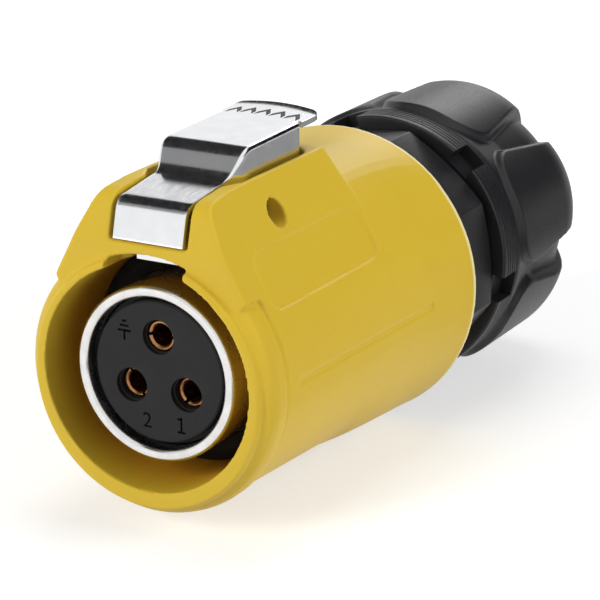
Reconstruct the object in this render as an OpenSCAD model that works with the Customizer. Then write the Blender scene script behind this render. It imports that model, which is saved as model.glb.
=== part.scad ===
// Waterproof circular cable connector: a three-way socket plug with a sprung push latch
// and a screwed cable gland. The axis runs along Y, from the mating face at the origin to
// the cable entry. The latch is on top, +Z.

/* [Contacts] */
// Diameter of the pin that each socket takes
socket_d = 2.5; // [1.8:0.1:2.8]
// Wall of a socket round its bore
contact_wall = 0.55; // [0.4:0.05:0.8]
// Radius of the circle that the contacts stand on
contact_circle_r = 4.02; // [3.8:0.02:4.6]
// Depth of a socket's bore
socket_depth = 8.5; // [6:0.1:9]
// Depth of a socket's mouth below the insert's face
contact_recess = 1.2; // [0.8:0.1:2]
// How far the earth socket stands ahead of the others
earth_lead = 0.5; // [0:0.1:0.7]
// Width of the slits that let a socket spring
slit_w = 0.35; // [0.2:0.05:0.5]
// Length of those slits
slit_len = 6; // [3:0.5:7]
// Radial step of the collar that holds a contact between the inserts
contact_collar_step = 0.45; // [0.3:0.05:0.7]
// Length of that collar
contact_collar_len = 2; // [1.2:0.1:3]
// Length of a contact's tail behind its collar
tail_len = 15.6; // [14:0.1:18]
// Diameter of the hole for the wire in a tail
wire_hole_d = 2.4; // [1.6:0.1:2.8]
// Depth of that hole
wire_hole_depth = 6; // [4:0.5:8]
// Diameter of a terminal screw
screw_d = 1.8; // [1.4:0.1:2.2]
// Length of a terminal screw
screw_len = 2; // [1.6:0.1:3]
// Distance of the screw from the tail's end
screw_back = 2.6; // [1.6:0.1:4]

/* [Inserts] */
// Material outside the contacts to the insert's rim
insert_edge = 2.78; // [2:0.02:4]
// Length of the front insert
insert_len = 11.3; // [10:0.1:13]
// Length of the rear insert
rear_insert_len = 10.2; // [8:0.1:10.8]
// Radial step round the insert's face
face_step = 0.5; // [0.3:0.05:0.8]
// Length of the stepped face
face_len = 1.5; // [1:0.1:2.5]
// Depth of the insert's face below the ring's rim
insert_recess = 0.94; // [0.4:0.02:2]
// Thickness of the snap ring behind the inserts
clip_len = 0.8; // [0.5:0.1:1.2]
// How far the snap ring bites into the shield ring
clip_bite = 0.4; // [0.3:0.05:0.6]

/* [Shield ring] */
// Wall of the plated ring
ring_wall = 1.28; // [1:0.02:1.8]
// Depth of the ring's rim below the mating face
ring_recess = 1.96; // [1:0.02:4]
// Radial height of the flange that seats in the shell
flange_step = 2.2; // [1.6:0.1:3]
// Length of that flange
flange_len = 2.5; // [1.5:0.1:4]
// Length of the screwed ring that clamps the flange
retainer_len = 3; // [2:0.1:4]
// Length of the flat seal at the bottom of the mouth
flat_seal_len = 1.7; // [1:0.1:2.4]
// Radius of the section of the soft ring behind the web
insert_ring_r = 0.68; // [0.5:0.02:0.8]
// Break of the ring's front edges
rim_break = 0.3; // [0.1:0.05:0.5]

/* [Front shell] */
// Length of the shell
shell_len = 45.8; // [44:0.1:54]
// Radial gap between the shield ring and the mouth
mating_gap = 2.88; // [2.2:0.02:3.4]
// Depth of the mouth
mouth_depth = 12; // [11.6:0.1:12.4]
// Thickness of the web behind the mouth
web_len = 3; // [2.4:0.1:4]
// Wall of the lip round the mouth
lip_wall = 1.38; // [1:0.02:2]
// How far the lip sits below the axis, which thickens it underneath
lip_drop = 0.65; // [0.3:0.05:0.9]
// How far the lip stands ahead of the collar
lip_len = 0.9; // [0.5:0.05:1.4]
// How far the collar behind the lip sits below the axis
collar_drop = 0.4; // [0:0.05:0.5]
// Radial step from the lip to the collar
collar_step = 0.4; // [0.2:0.05:0.6]
// Radius that the collar gains from its front to its crest
collar_rise = 0.83; // [0.4:0.05:1]
// Where the collar ends and the body starts
collar_end = 4.2; // [4:0.05:5]
// Depth of the crease between the collar and the body
crease = 0.3; // [0.15:0.05:0.5]
// Radius that the body gains for each millimetre towards the rear
body_taper = 0.04; // [0.02:0.005:0.05]
// Where the body starts to flare to its rear rim
bell_start = 32; // [30:0.5:40]
// Radius that the flare adds at the rear rim
bell_rise = 1.05; // [0.6:0.05:1.4]
// Height of the latch housing's top edges above the latch pin
housing_rise = 3.85; // [3:0.05:4.2]
// Wall between the bore and the floor of the latch's pocket
roof_wall = 1.4; // [1:0.1:2]
// Height of the notch above the mouth
notch_rise = 0.95; // [0.6:0.05:1.2]
// Thickness of the bridge between the notch and the tongue's slot
bridge_wall = 1.05; // [0.8:0.05:1.3]
// Distance of the pocket's front ahead of the pin
pocket_lead = 5.1; // [4.6:0.1:5.4]
// Room behind the latch's flanges
pocket_room = 1.7; // [1.2:0.1:2.4]
// Corner radius of the pocket
pocket_corner = 2.4; // [1.2:0.1:3]
// Length of the pin in each wall of the housing
pin_grip = 0.9; // [0.6:0.1:1.2]
// Thickness of the housing's walls at their top edges
housing_wall = 0.62; // [0.5:0.02:1.2]
// Lowest angle of the housing's front face above the horizontal
housing_low = 40; // [34:1:46]
// Where the latch housing ends
housing_end = 28.2; // [27.8:0.1:31]
// Length of the slope from the housing down to the rear crown
housing_drop = 1.6; // [1:0.1:3]
// Blend between the flat sides and the rear crown
shoulder = 1.4; // [0.6:0.1:2]
// Break of the rear rim
rear_break = 0.4; // [0.2:0.05:0.8]
// Length of the screwed bore at the rear
thread_len = 12.6; // [10:0.1:14]
// Wall between that bore and the rear rim
rear_wall = 4.1; // [3:0.1:5]

/* [Shell marks] */
// Length of the sunk plate on each side
plate_len = 23; // [15:0.5:23]
// Height of that plate
plate_h = 6.8; // [4:0.1:7.2]
// Depth of that plate
plate_depth = 0.35; // [0.2:0.05:0.5]
// Corner radius of that plate
plate_corner = 2; // [1:0.1:3]
// Height of the plate's middle above the side's tangent line
plate_rise = 3.7; // [3:0.1:4.4]
// Length of the fine guide groove on each side
guide_len = 30; // [20:0.5:32]
// Width of that groove
guide_w = 1; // [0.6:0.1:1.6]
// Depth of that groove
guide_depth = 0.2; // [0.1:0.05:0.4]
// Where the full belly under the body starts
belly_start = 23; // [20:0.5:26]
// How far the belly stands below the round body
belly_rise = 0.65; // [0.3:0.05:0.8]
// Number of finger grooves across the belly
grooves = 2; // [1:1:3]
// Distance of the first groove from the belly's start
groove_lead = 2.7; // [1.5:0.1:4]
// Distance from groove to groove
groove_pitch = 6; // [4:0.5:6.5]
// Radius of a groove's section
groove_r = 0.5; // [0.3:0.05:0.8]
// Depth of a groove
groove_depth = 0.3; // [0.15:0.05:0.4]

/* [Latch] */
// Thickness of the latch's sheet
sheet = 0.7; // [0.5:0.05:0.8]
// Width of the latch's front tongue
tongue_w = 8.7; // [7.6:0.1:9]
// Width of the press plate over its flanges
press_w = 10.8; // [10.2:0.1:11]
// Gap at each side of the latch
latch_gap = 0.55; // [0.3:0.05:0.6]
// Distance of the latch's pin from the mating face
pivot_y = 13.7; // [13.4:0.1:14]
// Diameter of the latch's pin
latch_pin_d = 3; // [2.4:0.1:3.2]
// Wall of the ears round the pin
ear_wall = 0.7; // [0.6:0.05:0.9]
// Distance of the press plate's rear edge behind the pin
press_reach = 16.2; // [14:0.1:16.6]
// Height of the press plate's front edge above the pin
press_h = 6.97; // [6.6:0.01:7.6]
// Rise of the press plate to its rear edge
press_rise = 0.65; // [0.3:0.05:1]
// Distance of the flanges' rear edge behind the pin
flange_reach = 11.2; // [9:0.1:11.4]
// Height of the tongue's shelf above the bridge
plateau_h = 4.5; // [4:0.1:4.8]
// Rise of that shelf to the slope
plateau_rise = 0.98; // [0.6:0.02:1.2]
// Distance of the tongue's lower edge behind the mating face
lip_y = 1.1; // [0.8:0.1:1.6]
// Corner radius of the press plate
press_corner = 0.9; // [0.4:0.1:2]
// How far the press plate's crown falls to its sides
press_crown = 0.45; // [0.2:0.05:0.6]
// Width of the hook under the tongue
hook_w = 6.1; // [4:0.1:6.6]
// Distance of the hook ahead of the pin
hook_reach = 10.1; // [9.6:0.1:10.4]
// How far the hook reaches into the mouth
hook_bite = 0.6; // [0.3:0.05:0.9]
// Diameter of the spring's wire
spring_wire = 0.44; // [0.3:0.02:0.5]
// Turns of the spring beside its legs
spring_turns = 7; // [4:1:8]

/* [Rear body] */
// Radius over the corners of the octagonal collar
octagon_r = 16.5; // [15.8:0.1:17]
// Length of that collar
octagon_len = 9.8; // [8:0.1:12]
// Turn of the octagon about the axis
octagon_turn = 29.5; // [0:0.5:45]
// Wall of the front spigot
spigot_wall = 2.6; // [2:0.1:3.4]
// Radius of the section of the soft ring behind the shell
body_ring_r = 0.7; // [0.5:0.02:0.9]
// Wall of the rear spigot round the cable seal
chamber_wall = 1.4; // [1.2:0.1:2]
// Length of the rear spigot
rear_spigot_len = 15; // [14:0.1:18]

/* [Gland] */
// Radius of the cable entry
cable_r = 6.6; // [5.6:0.1:7.4]
// How much wider the bores inside the gland are than the cable entry
gland_gap = 0.45; // [0.3:0.05:0.8]
// Wall of the rubber cable seal
seal_wall = 3.65; // [3:0.05:4]
// Thickness of the clamp's fingers
finger_wall = 1.3; // [1.1:0.1:1.5]
// Number of fingers on the clamp
fingers = 8; // [6:1:12]
// Width of the slots between the fingers
finger_slot = 2; // [1:0.1:2.6]
// Thickness of the clamp's base
claw_base = 1.4; // [1:0.1:2]
// Length of the seal
seal_len = 15.6; // [14.6:0.1:16.4]
// Thickness of the thrust ring
thrust_len = 1.5; // [1:0.1:2]

/* [Gland nut] */
// Radius of the nut's front band
band_r = 16.9; // [16.4:0.1:17.2]
// Length of that band
band_len = 4.7; // [4:0.1:6]
// Radius over the lobes at their front
lobe_r = 17.8; // [17.4:0.1:18.4]
// Number of lobes
lobes = 6; // [5:1:8]
// Angle of the first valley between lobes
valley_turn = 49; // [0:1:60]
// Width of a lobe
lobe_w = 15.2; // [13:0.1:16]
// Width of a lobe at its rear end
lobe_end_w = 10.4; // [9:0.1:12]
// Corner radius of a lobe's front
lobe_corner = 5; // [3:0.1:6]
// Radius of the nut between its lobes
core_r = 15.7; // [15.4:0.1:16.2]
// Length of the cone from the band down to that radius
core_cone = 7; // [4:0.1:8]
// Length of the nut
nut_len = 25.9; // [25.6:0.1:29]
// Length of the dome at the rear of the lobes
dome_len = 8.2; // [6:0.1:10]
// Radius of the nut's rear end
nut_end_r = 11.4; // [11:0.1:12.6]
// Width of the notches in the band
notch_w = 3.3; // [2:0.1:4]
// Length of those notches
notch_len = 3.5; // [2:0.1:3.8]

/* [Fits] */
// Small fit between pieces that seat in each other
fit = 0.05; // [0.02:0.01:0.1]
// Clearance of threads, which are drawn plain
thread_gap = 0.15; // [0.1:0.05:0.2]
// Running clearance of the latch's pin
pin_fit = 0.03; // [0.02:0.01:0.06]
// Face gap between pieces of different bodies
face_gap = 0.3; // [0.2:0.05:0.5]

/* [Hidden] */

$fn = 96;
over = 1;
far = 60;

// Radii, from the contacts outwards
socket_r = socket_d / 2;
contact_r = socket_r + contact_wall;
collar_r = contact_r + contact_collar_step;
insert_r = contact_circle_r + contact_r + insert_edge;
ring_inner_r = insert_r + 2 * fit;
ring_r = ring_inner_r + ring_wall;
flange_r = ring_r + flange_step;
chamber_r = flange_r + 2 * thread_gap;
mouth_r = ring_r + mating_gap;
lip_r = mouth_r + lip_wall;
collar_front_r = lip_r + collar_step;
collar_rear_r = collar_front_r + collar_rise;
body_front_r = collar_rear_r;
rear_r = body_front_r + body_taper * (shell_len - collar_end) + bell_rise;
thread_bore_r = rear_r - rear_wall;
spigot_r = thread_bore_r - thread_gap;
spigot_bore_r = spigot_r - spigot_wall;
gland_bore_r = cable_r + gland_gap;
finger_r = cable_r + seal_wall + 2 * fit + finger_wall;
thrust_r = cable_r + seal_wall + finger_wall / 2;
chamber_bore_r = finger_r + 2 * fit;
rear_spigot_r = chamber_bore_r + chamber_wall;
nut_bore_r = rear_spigot_r + thread_gap + fit;

// Stations along the axis, from the mating face to the rear
insert_y = ring_recess + insert_recess;
contact_y = insert_y + contact_recess;
split_y = insert_y + insert_len;
collar_y = split_y - contact_collar_len / 2;
tail_y = collar_y + contact_collar_len;
tail_end = tail_y + tail_len;
screw_y = tail_end - screw_back;
rear_insert_end = split_y + rear_insert_len;
ring_end = rear_insert_end + 2 * clip_len;
web_end = mouth_depth + web_len;
flange_end = web_end + flange_len;
thread_y = shell_len - thread_len;
octagon_y = shell_len + face_gap;
octagon_end = octagon_y + octagon_len;
claw_y = octagon_end + claw_base;
spigot_end = octagon_end + rear_spigot_len;
seal_y = claw_y + claw_base;
seal_end = seal_y + seal_len;
thrust_y = seal_end + face_gap;
nut_y = octagon_end + face_gap;
nut_seat = thrust_y + thrust_len + fit;
nut_end = nut_y + nut_len;
lobe_y = nut_y + band_len;
dome_y = nut_end - dome_len;

// The latch, its pin and the housing that holds them
latch_pin_r = latch_pin_d / 2;
ear_r = latch_pin_r + ear_wall;
pocket_floor = chamber_r + roof_wall;
pivot_z = pocket_floor + ear_r + face_gap + 2 * fit;
pocket_half = press_w / 2 + latch_gap;
slot_half = tongue_w / 2 + latch_gap;
corner_x = pocket_half + housing_wall;
corner_z = pivot_z + housing_rise;
bridge_bottom = mouth_r + notch_rise;
bridge_top = bridge_bottom + bridge_wall;
hook_z = mouth_r - hook_bite;
hook_y = pivot_y - hook_reach;
pocket_front = pivot_y - pocket_lead;
pocket_end = pivot_y + flange_reach + pocket_room;
pin_half = pocket_half + pin_grip;

// Soft rings
insert_seat_r = ring_r + 2 * insert_ring_r + 4 * fit;
body_seat_r = spigot_r + 2 * body_ring_r + 4 * fit;
seat_len = 2 * body_ring_r;

// Stands a drawing in X and Z between two stations along the axis
module prism_y(y0, y1) {
    translate([0, y1, 0])
        rotate([90, 0, 0])
            linear_extrude(y1 - y0)
                children();
}

// Turns a profile of radius and station about the axis
module turn_y() {
    rotate([-90, 0, 0])
        rotate_extrude()
            children();
}

// A round bar along the axis between two stations
module bar_y(r, y0, y1) {
    translate([0, y0, 0])
        rotate([-90, 0, 0])
            cylinder(r = r, h = y1 - y0);
}

// A side drawing of Y and Z, as wide as w across X
module prism_x(w) {
    rotate([90, 0, 90])
        linear_extrude(w, center = true)
            children();
}

// A round bar across X through a point of Y and Z
module bar_x(r, y, z, w) {
    translate([0, y, z])
        rotate([0, 90, 0])
            cylinder(r = r, h = w, center = true);
}

// Puts a piece at an angle round the axis, a distance out from it
module around(angle, distance) {
    rotate([0, -angle, 0])
        translate([distance, 0, 0])
            children();
}

// The skin of the shell is a loft: rings of points round the axis at a row of stations.
// A ring is round below. On each side a flat leaves the round and runs up to a corner.

function body_r(y) =
    let (flare = max(0, y - bell_start) / (shell_len - bell_start))
    body_front_r + body_taper * (y - collar_end) + bell_rise * pow(flare, 2);

// Angle at which the flat leaves the round body, so that it meets the housing's corner
function flat_angle(r) = atan2(corner_z, corner_x) - acos(r / norm([corner_x, corner_z]));

function soft_min(a, b, k) =
    let (h = k > 0 ? max(k - abs(a - b), 0) / k : 0)
    min(a, b) - h * h * k / 4;

round_steps = 36;
flat_steps = 8;
top_steps = 8;

// Extra radius of the belly, which fades out up the sides
function belly(a, y) =
    let (side = min(1, max(0, (-15 - a) / 35)), run = (y - belly_start) / (shell_len - belly_start))
    y > belly_start ? belly_rise * sin(180 * run) * side * side * (3 - 2 * side) : 0;

function at_angle(a, r, y) = (r + belly(a, y)) * [cos(a), 0, sin(a)] + [0, y, 0];

// Adds the left half of a ring to its right half
function whole_ring(half) =
    let (n = len(half))
    concat(half, [for (i = [n - 2 : -1 : 1]) [-half[i][0], half[i][1], half[i][2]]]);

// A ring through the latch housing, with a level top
function housing_ring(y, low_r, low, d, top) =
    let (flat = flat_angle(d), x = (d - top * sin(flat)) / cos(flat), corner = atan2(top, x))
    whole_ring(concat(
        [for (i = [0 : round_steps - 1]) at_angle((low + 90) * i / round_steps - 90, low_r, y)],
        [for (i = [0 : flat_steps - 1])
            let (a = low + (corner - low) * i / flat_steps)
            at_angle(a, d / cos(a - flat), y)],
        [for (i = [0 : top_steps]) [x * (1 - i / top_steps), y, top]]));

// A ring behind the housing, with a round top
function crown_ring(y, d, top_r, k) =
    let (flat = flat_angle(d), corner = flat + max(8, acos(min(1, d / top_r))))
    whole_ring(concat(
        [for (i = [0 : round_steps - 1]) at_angle((flat + 90) * i / round_steps - 90, d, y)],
        [for (i = [0 : flat_steps - 1])
            let (a = flat + (corner - flat) * i / flat_steps)
            at_angle(a, soft_min(d / cos(a - flat), top_r, k), y)],
        [for (i = [0 : top_steps])
            let (a = corner + (90 - corner) * i / top_steps)
            at_angle(a, soft_min(d / cos(a - flat), top_r, k), y)]));

// Closes a stack of rings into one solid
module loft(rings) {
    n = len(rings[0]);
    last = len(rings) - 1;
    points = [for (ring = rings) each ring];
    sides = [for (j = [0 : last - 1], i = [0 : n - 1])
        let (a = j * n + i, b = j * n + (i + 1) % n)
        each [[a, b, b + n], [a, b + n, a + n]]];
    caps = [[for (i = [n - 1 : -1 : 0]) i], [for (i = [0 : n - 1]) last * n + i]];
    polyhedron(points, concat(sides, caps), convexity = 6);
}

// The skin, or the surface at an inset below it
module shell_skin(inset = 0) {
    core_r = mouth_r + 0.6;
    // Station, break of the flat and drop of the top edge along the rounded nose
    nose = [[0.05, 0.55, 5.95], [0.35, 0.12, 4.65], [1.1, 0, 1.8], [1.45, 0, 1.15], [2.1, 0, 0.63],
        [3.1, 0, 0.36]];
    nose_rings = [for (n = nose)
        let (y = lip_len + n[0])
        housing_ring(y, core_r, housing_low, body_r(y) - n[1] - inset, corner_z - n[2])];
    middle = [[collar_end + 0.1, 0.33], [lip_len + 5.6, 0.13], [lip_len + 8, 0], [belly_start, 0],
        [(belly_start + housing_end) / 2, 0], [housing_end, 0]];
    middle_rings = [for (m = middle)
        let (r = body_r(m[0]) - inset)
        housing_ring(m[0], r, flat_angle(r), r, corner_z - m[1])];
    steps = 7;
    first = housing_end + housing_drop;
    span = shell_len - rear_break - first;
    rear_rings = [for (i = [0 : steps])
        let (y = first + span * i / steps, r = body_r(y) - inset, top = max(rear_r - inset, r))
        crown_ring(y, r, top, min(shoulder, 0.9 * (top - r)))];
    end_r = rear_r - rear_break - inset;
    loft(concat(nose_rings, middle_rings, rear_rings, [crown_ring(shell_len, end_r, end_r, 0)]));
}

// The lip round the mouth and the collar behind it, both a little low
module shell_front() {
    soft = 0.25;
    root = 0.65;
    translate([0, 0, -lip_drop])
        turn_y()
            polygon([[0, 0], [lip_r - soft, 0], [lip_r, soft], [lip_r, lip_len + root],
                [0, lip_len + root]]);
    translate([0, 0, -collar_drop])
        turn_y()
            polygon([[0, lip_len], [collar_front_r, lip_len],
                [collar_front_r + 0.7 * collar_rise, lip_len + 0.55],
                [collar_rear_r, lip_len + 1.5], [collar_rear_r, collar_end - 0.5],
                [collar_rear_r - crease, collar_end], [collar_rear_r - 2 * crease, collar_end + 0.45],
                [0, collar_end + 0.45]]);
}

// The sunk plate on the right side, cut to an even depth below the skin
module side_plate() {
    mid_y = collar_end + 1.2 + plate_len / 2;
    r = body_r(mid_y);
    w = plate_len / 2 - plate_corner;
    h = plate_h / 2 - plate_corner;
    rotate([0, -flat_angle(r), 0])
        translate([r - 2, mid_y, plate_rise])
            rotate([0, 90, 0])
                linear_extrude(far)
                    union() {
                        square([plate_h, 2 * w], center = true);
                        square([2 * h, plate_len], center = true);
                        for (sx = [-1, 1], sy = [-1, 1])
                            translate([sx * h, sy * w])
                                circle(plate_corner);
                    }
}

// The fine groove along the right side, sunk evenly as the body tapers
module side_guide() {
    start = collar_end + 2.4;
    rotate([0, -1.8, 0])
        translate([body_r(start) - guide_depth, start, -guide_w / 2])
            rotate([0, 0, -atan(body_taper)])
                cube([far, guide_len, guide_w]);
}

// The finger grooves across the belly, which run out at the sides
module finger_grooves() {
    lift = 0.8;
    for (i = [0 : grooves - 1])
        let (y = belly_start + groove_lead + i * groove_pitch,
             bottom_r = body_r(y) + belly(-90, y) + groove_r - groove_depth)
        intersection() {
            translate([0, 0, lift])
                o_ring(bottom_r + lift, groove_r, y);
            translate([-far / 2, 0, -far])
                cube(far);
        }
}

// Plan of the deep pocket: it widens behind the tongue and is rounded at its rear corners
module pocket_plan() {
    y1 = pocket_end - pocket_corner;
    x1 = pocket_half - pocket_corner;
    union() {
        polygon([[-slot_half, pocket_front], [slot_half, pocket_front],
            [pocket_half, pocket_front + 2.2], [pocket_half, y1],
            [-pocket_half, y1], [-pocket_half, pocket_front + 2.2]]);
        translate([-x1, y1 - over])
            square([2 * x1, pocket_corner + over]);
        for (s = [-1, 1])
            translate([s * x1, y1])
                circle(pocket_corner);
    }
}

module latch_room() {
    // Slot for the tongue, open at the front
    translate([-slot_half, -over, bridge_top])
        cube([2 * slot_half, pocket_front + 2 * over, far]);
    // Deep pocket for the flanges, the pin and the spring
    translate([0, 0, pocket_floor])
        linear_extrude(far)
            pocket_plan();
    // Slot for the hook, down into the mouth
    translate([-hook_w / 2 - latch_gap, hook_y - 0.7, 0])
        cube([hook_w + 2 * latch_gap, 2.7, far]);
    // Notch in the mouth's upper edge, as round as the mouth
    intersection() {
        bar_y(bridge_bottom, -over, hook_y + 0.2);
        translate([-tongue_w / 2 - latch_gap, -over, 0])
            cube([tongue_w + 2 * latch_gap, hook_y + far, far]);
    }
}

module front_shell() {
    color("#e0b83c")
        difference() {
            union() {
                shell_skin();
                shell_front();
            }
            bar_y(mouth_r, -over, mouth_depth);
            bar_y(ring_r + fit, mouth_depth - over, web_end + over);
            bar_y(insert_seat_r, web_end - 2 * insert_ring_r, web_end + over);
            bar_y(chamber_r, web_end, shell_len + over);
            bar_y(thread_bore_r, thread_y, shell_len + over);
            bar_y(body_seat_r, shell_len - seat_len, shell_len + over);
            latch_room();
            bar_x(latch_pin_r + pin_fit, pivot_y, pivot_z, far);
            difference() {
                for (side = [0, 1])
                    mirror([side, 0, 0])
                        side_plate();
                shell_skin(plate_depth);
            }
            for (side = [0, 1])
                mirror([side, 0, 0])
                    side_guide();
            finger_grooves();
        }
}

// A bent strip is drawn from the corners of its outer line and the radius of each bend

function along(a, b) = (b - a) / norm(b - a);
function leftward(u) = [-u[1], u[0]];
function turn_sign(u, v) = u[0] * v[1] - u[1] * v[0] > 0 ? 1 : -1;

function bend(a, b, c, r, inset) =
    let (u = along(a, b), v = along(b, c), s = turn_sign(u, v),
         half = acos(u * v) / 2,
         centre = b - u * r * tan(half) + leftward(u) * s * r,
         first = atan2(u[1], u[0]) - s * 90,
         steps = 6)
    [for (i = [0 : steps])
        let (t = first + s * 2 * half * i / steps)
        centre + (r - s * inset) * [cos(t), sin(t)]];

function strip_line(p, radii, inset) =
    let (n = len(p))
    concat([p[0] + inset * leftward(along(p[0], p[1]))],
        [for (i = [1 : n - 2]) each bend(p[i - 1], p[i], p[i + 1], radii[i - 1], inset)],
        [p[n - 1] + inset * leftward(along(p[n - 2], p[n - 1]))]);

function strip(p, radii, thickness) =
    let (outer = strip_line(p, radii, 0), inner = strip_line(p, radii, -thickness))
    concat(outer, [for (i = [len(inner) - 1 : -1 : 0]) inner[i]]);

// Outer line of the latch, from the tongue's lip to the press plate's rear edge
press_z = pivot_z + press_h;
lip_z = bridge_top + 0.25;
plateau_z = bridge_top + plateau_h;
latch_line = [[lip_y, lip_z], [lip_y + 1.05, plateau_z], [pivot_y - 3.16, plateau_z + plateau_rise],
    [pivot_y - 0.82, press_z], [pivot_y + press_reach, press_z + press_rise]];
latch_bends = [1.9, 2.2, 1.7];

// Half width of the latch at points along Y: the tongue widens to the press plate
flare_line = [[-4.3, 0], [-3.5, 0.06], [-2.7, 0.28], [-1.9, 0.62], [-1.2, 0.88], [-0.5, 1]];

function flare_edge(inset) =
    [for (p = flare_line) [tongue_w / 2 + (press_w - tongue_w) / 2 * p[1] - inset, pivot_y + p[0]]];

// Plan of the whole latch
module latch_plan() {
    rear = pivot_y + press_reach;
    side = flare_edge(0);
    half = concat([[tongue_w / 2, -over]], side, [[press_w / 2, rear - press_corner],
        [press_w / 2 - press_corner, rear]]);
    polygon(concat(half, [for (i = [len(half) - 1 : -1 : 0]) [-half[i][0], half[i][1]]]));
    for (s = [-1, 1])
        translate([s * (press_w / 2 - press_corner), rear - press_corner])
            circle(press_corner);
}

// Plan of the right flange, which follows the latch's edge
module flange_plan() {
    rear = pivot_y + flange_reach;
    inner = flare_edge(sheet);
    polygon(concat(flare_edge(0), [[press_w / 2, rear], [press_w / 2 - sheet, rear]],
        [for (i = [len(inner) - 1 : -1 : 0]) inner[i]]));
}

// Side of the flanges, from the middle of the sheet down to the ears on the pin
module flange_side() {
    rear = pivot_y + flange_reach;
    rear_top = press_z - sheet / 2 + press_rise * flange_reach / press_reach;
    middle = strip_line(latch_line, latch_bends, -sheet / 2);
    union() {
        polygon(concat([for (i = [8 : 21]) middle[i]], [[rear, rear_top], [rear, rear_top - 4.2],
            [pivot_y + ear_r, pivot_z - 0.4], [pivot_y, pivot_z - ear_r / 2],
            [pivot_y - ear_r, pivot_z]]));
        translate([pivot_y, pivot_z])
            circle(ear_r);
    }
}

// A long round whose top is the press plate's crown
module crown_bar() {
    half = press_w / 2;
    r = half * half / (2 * press_crown);
    translate([0, pivot_y, press_z - r])
        rotate([atan(press_rise / press_reach), 0, 0])
            bar_y(r, -far, far);
}

module push_latch() {
    color("#d8dadc")
        difference() {
            union() {
                intersection() {
                    prism_x(press_w)
                        polygon(strip(latch_line, latch_bends, sheet));
                    linear_extrude(far)
                        latch_plan();
                    crown_bar();
                }
                for (side = [0, 1])
                    mirror([side, 0, 0])
                        intersection() {
                            linear_extrude(far)
                                flange_plan();
                            prism_x(2 * press_w)
                                flange_side();
                        }
                translate([-hook_w / 2, hook_y, hook_z])
                    cube([hook_w, sheet, plateau_z - 0.1 - hook_z]);
            }
            bar_x(latch_pin_r + pin_fit, pivot_y, pivot_z, far);
        }
}

module latch_pin() {
    soft = 0.25;
    color("#c4c6c8")
        translate([0, pivot_y, pivot_z])
            rotate([0, 90, 0])
                rotate_extrude()
                    polygon([[0, -pin_half], [latch_pin_r - soft, -pin_half],
                        [latch_pin_r, soft - pin_half], [latch_pin_r, pin_half - soft],
                        [latch_pin_r - soft, pin_half], [0, pin_half]]);
}

// A round wire swept along a path in planes that hold X
module wire(path, r, sides) {
    n = len(path);
    function heading(i) = path[min(i + 1, n - 1)] - path[max(i - 1, 0)];
    rings = [for (i = [0 : n - 1])
        let (t = heading(i) / norm(heading(i)), u0 = cross(t, [1, 0, 0]), u = u0 / norm(u0),
             v = cross(t, u))
        [for (k = [0 : sides - 1])
            path[i] + r * (cos(360 * k / sides) * u + sin(360 * k / sides) * v)]];
    loft(rings);
}

module latch_spring() {
    coil_r = latch_pin_r + 0.22 + spring_wire / 2;
    half = 2.4;
    steps = 12;
    up_angle = 28;
    up_leg = 9.4;
    down_leg = 8;
    from = 90 + up_angle;
    turn = 270 - from + 360 * spring_turns;
    count = round(turn / 360 * steps);
    coil = [for (i = [0 : count])
        let (a = from + turn * i / count)
        [half * (2 * i / count - 1), pivot_y + coil_r * cos(a), pivot_z + coil_r * sin(a)]];
    first = coil[0] + up_leg * [0, cos(up_angle), sin(up_angle)];
    last = coil[count] + [0, down_leg, 0];
    color("#b9bcc0")
        wire(concat([first], coil, [last]), spring_wire / 2, 8);
}

module shield_ring() {
    clip_y = rear_insert_end + fit;
    color("#c9cacc")
        turn_y()
            polygon([[ring_inner_r + rim_break, ring_recess], [ring_r - rim_break, ring_recess],
                [ring_r, ring_recess + rim_break], [ring_r, web_end + fit], [flange_r, web_end + fit],
                [flange_r, flange_end], [ring_r, flange_end], [ring_r, ring_end],
                [ring_inner_r, ring_end], [ring_inner_r, clip_y + clip_len],
                [ring_inner_r + clip_bite, clip_y + clip_len], [ring_inner_r + clip_bite, clip_y],
                [ring_inner_r, clip_y], [ring_inner_r, ring_recess + rim_break]]);
}

// A soft ring of round section at a station
module o_ring(r, section, y) {
    turn_y()
        translate([r, y])
            circle(section, $fn = 48);
}

module insert_o_ring() {
    color("#26262a")
        o_ring(ring_r + 2 * fit + insert_ring_r, insert_ring_r, web_end - insert_ring_r);
}

module interface_seal() {
    inner = ring_r + 3 * fit;
    outer = mouth_r - 2 * fit;
    front = mouth_depth - flat_seal_len;
    crest = (inner + outer) / 2;
    color("#2c2c30")
        turn_y()
            polygon([[inner, front + 0.5], [crest, front], [outer, front + 0.5],
                [outer, mouth_depth - fit], [inner, mouth_depth - fit]]);
}

module insert_retainer() {
    inner = ring_r + fit;
    outer = chamber_r - thread_gap;
    slot_w = 2.2;
    color("#9a9ca0")
        difference() {
            bar_y(outer, flange_end + fit, flange_end + fit + retainer_len);
            bar_y(inner, flange_end - over, flange_end + retainer_len + over);
            translate([-far / 2, flange_end + retainer_len * 0.6, -slot_w / 2])
                cube([far, retainer_len, slot_w]);
        }
}

// Angles of the earth, first and second contacts round the axis
contact_angles = [90, 330, 210];

module at_contacts() {
    for (angle = contact_angles)
        around(angle, contact_circle_r)
            children();
}

module contact_insert() {
    hole_r = contact_r + fit;
    mouth_hole_r = contact_r + 3 * fit;
    soft = 0.2;
    color("#3a393c")
        difference() {
            turn_y()
                polygon([[0, insert_y], [insert_r - face_step - soft, insert_y],
                    [insert_r - face_step, insert_y + soft], [insert_r - face_step, insert_y + face_len],
                    [insert_r, insert_y + face_len], [insert_r, split_y - fit], [0, split_y - fit]]);
            at_contacts() {
                bar_y(hole_r, insert_y - over, split_y + over);
                bar_y(mouth_hole_r, insert_y - over, contact_y - earth_lead - fit);
                bar_y(collar_r + fit, collar_y - fit, split_y + over);
            }
        }
}

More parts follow.
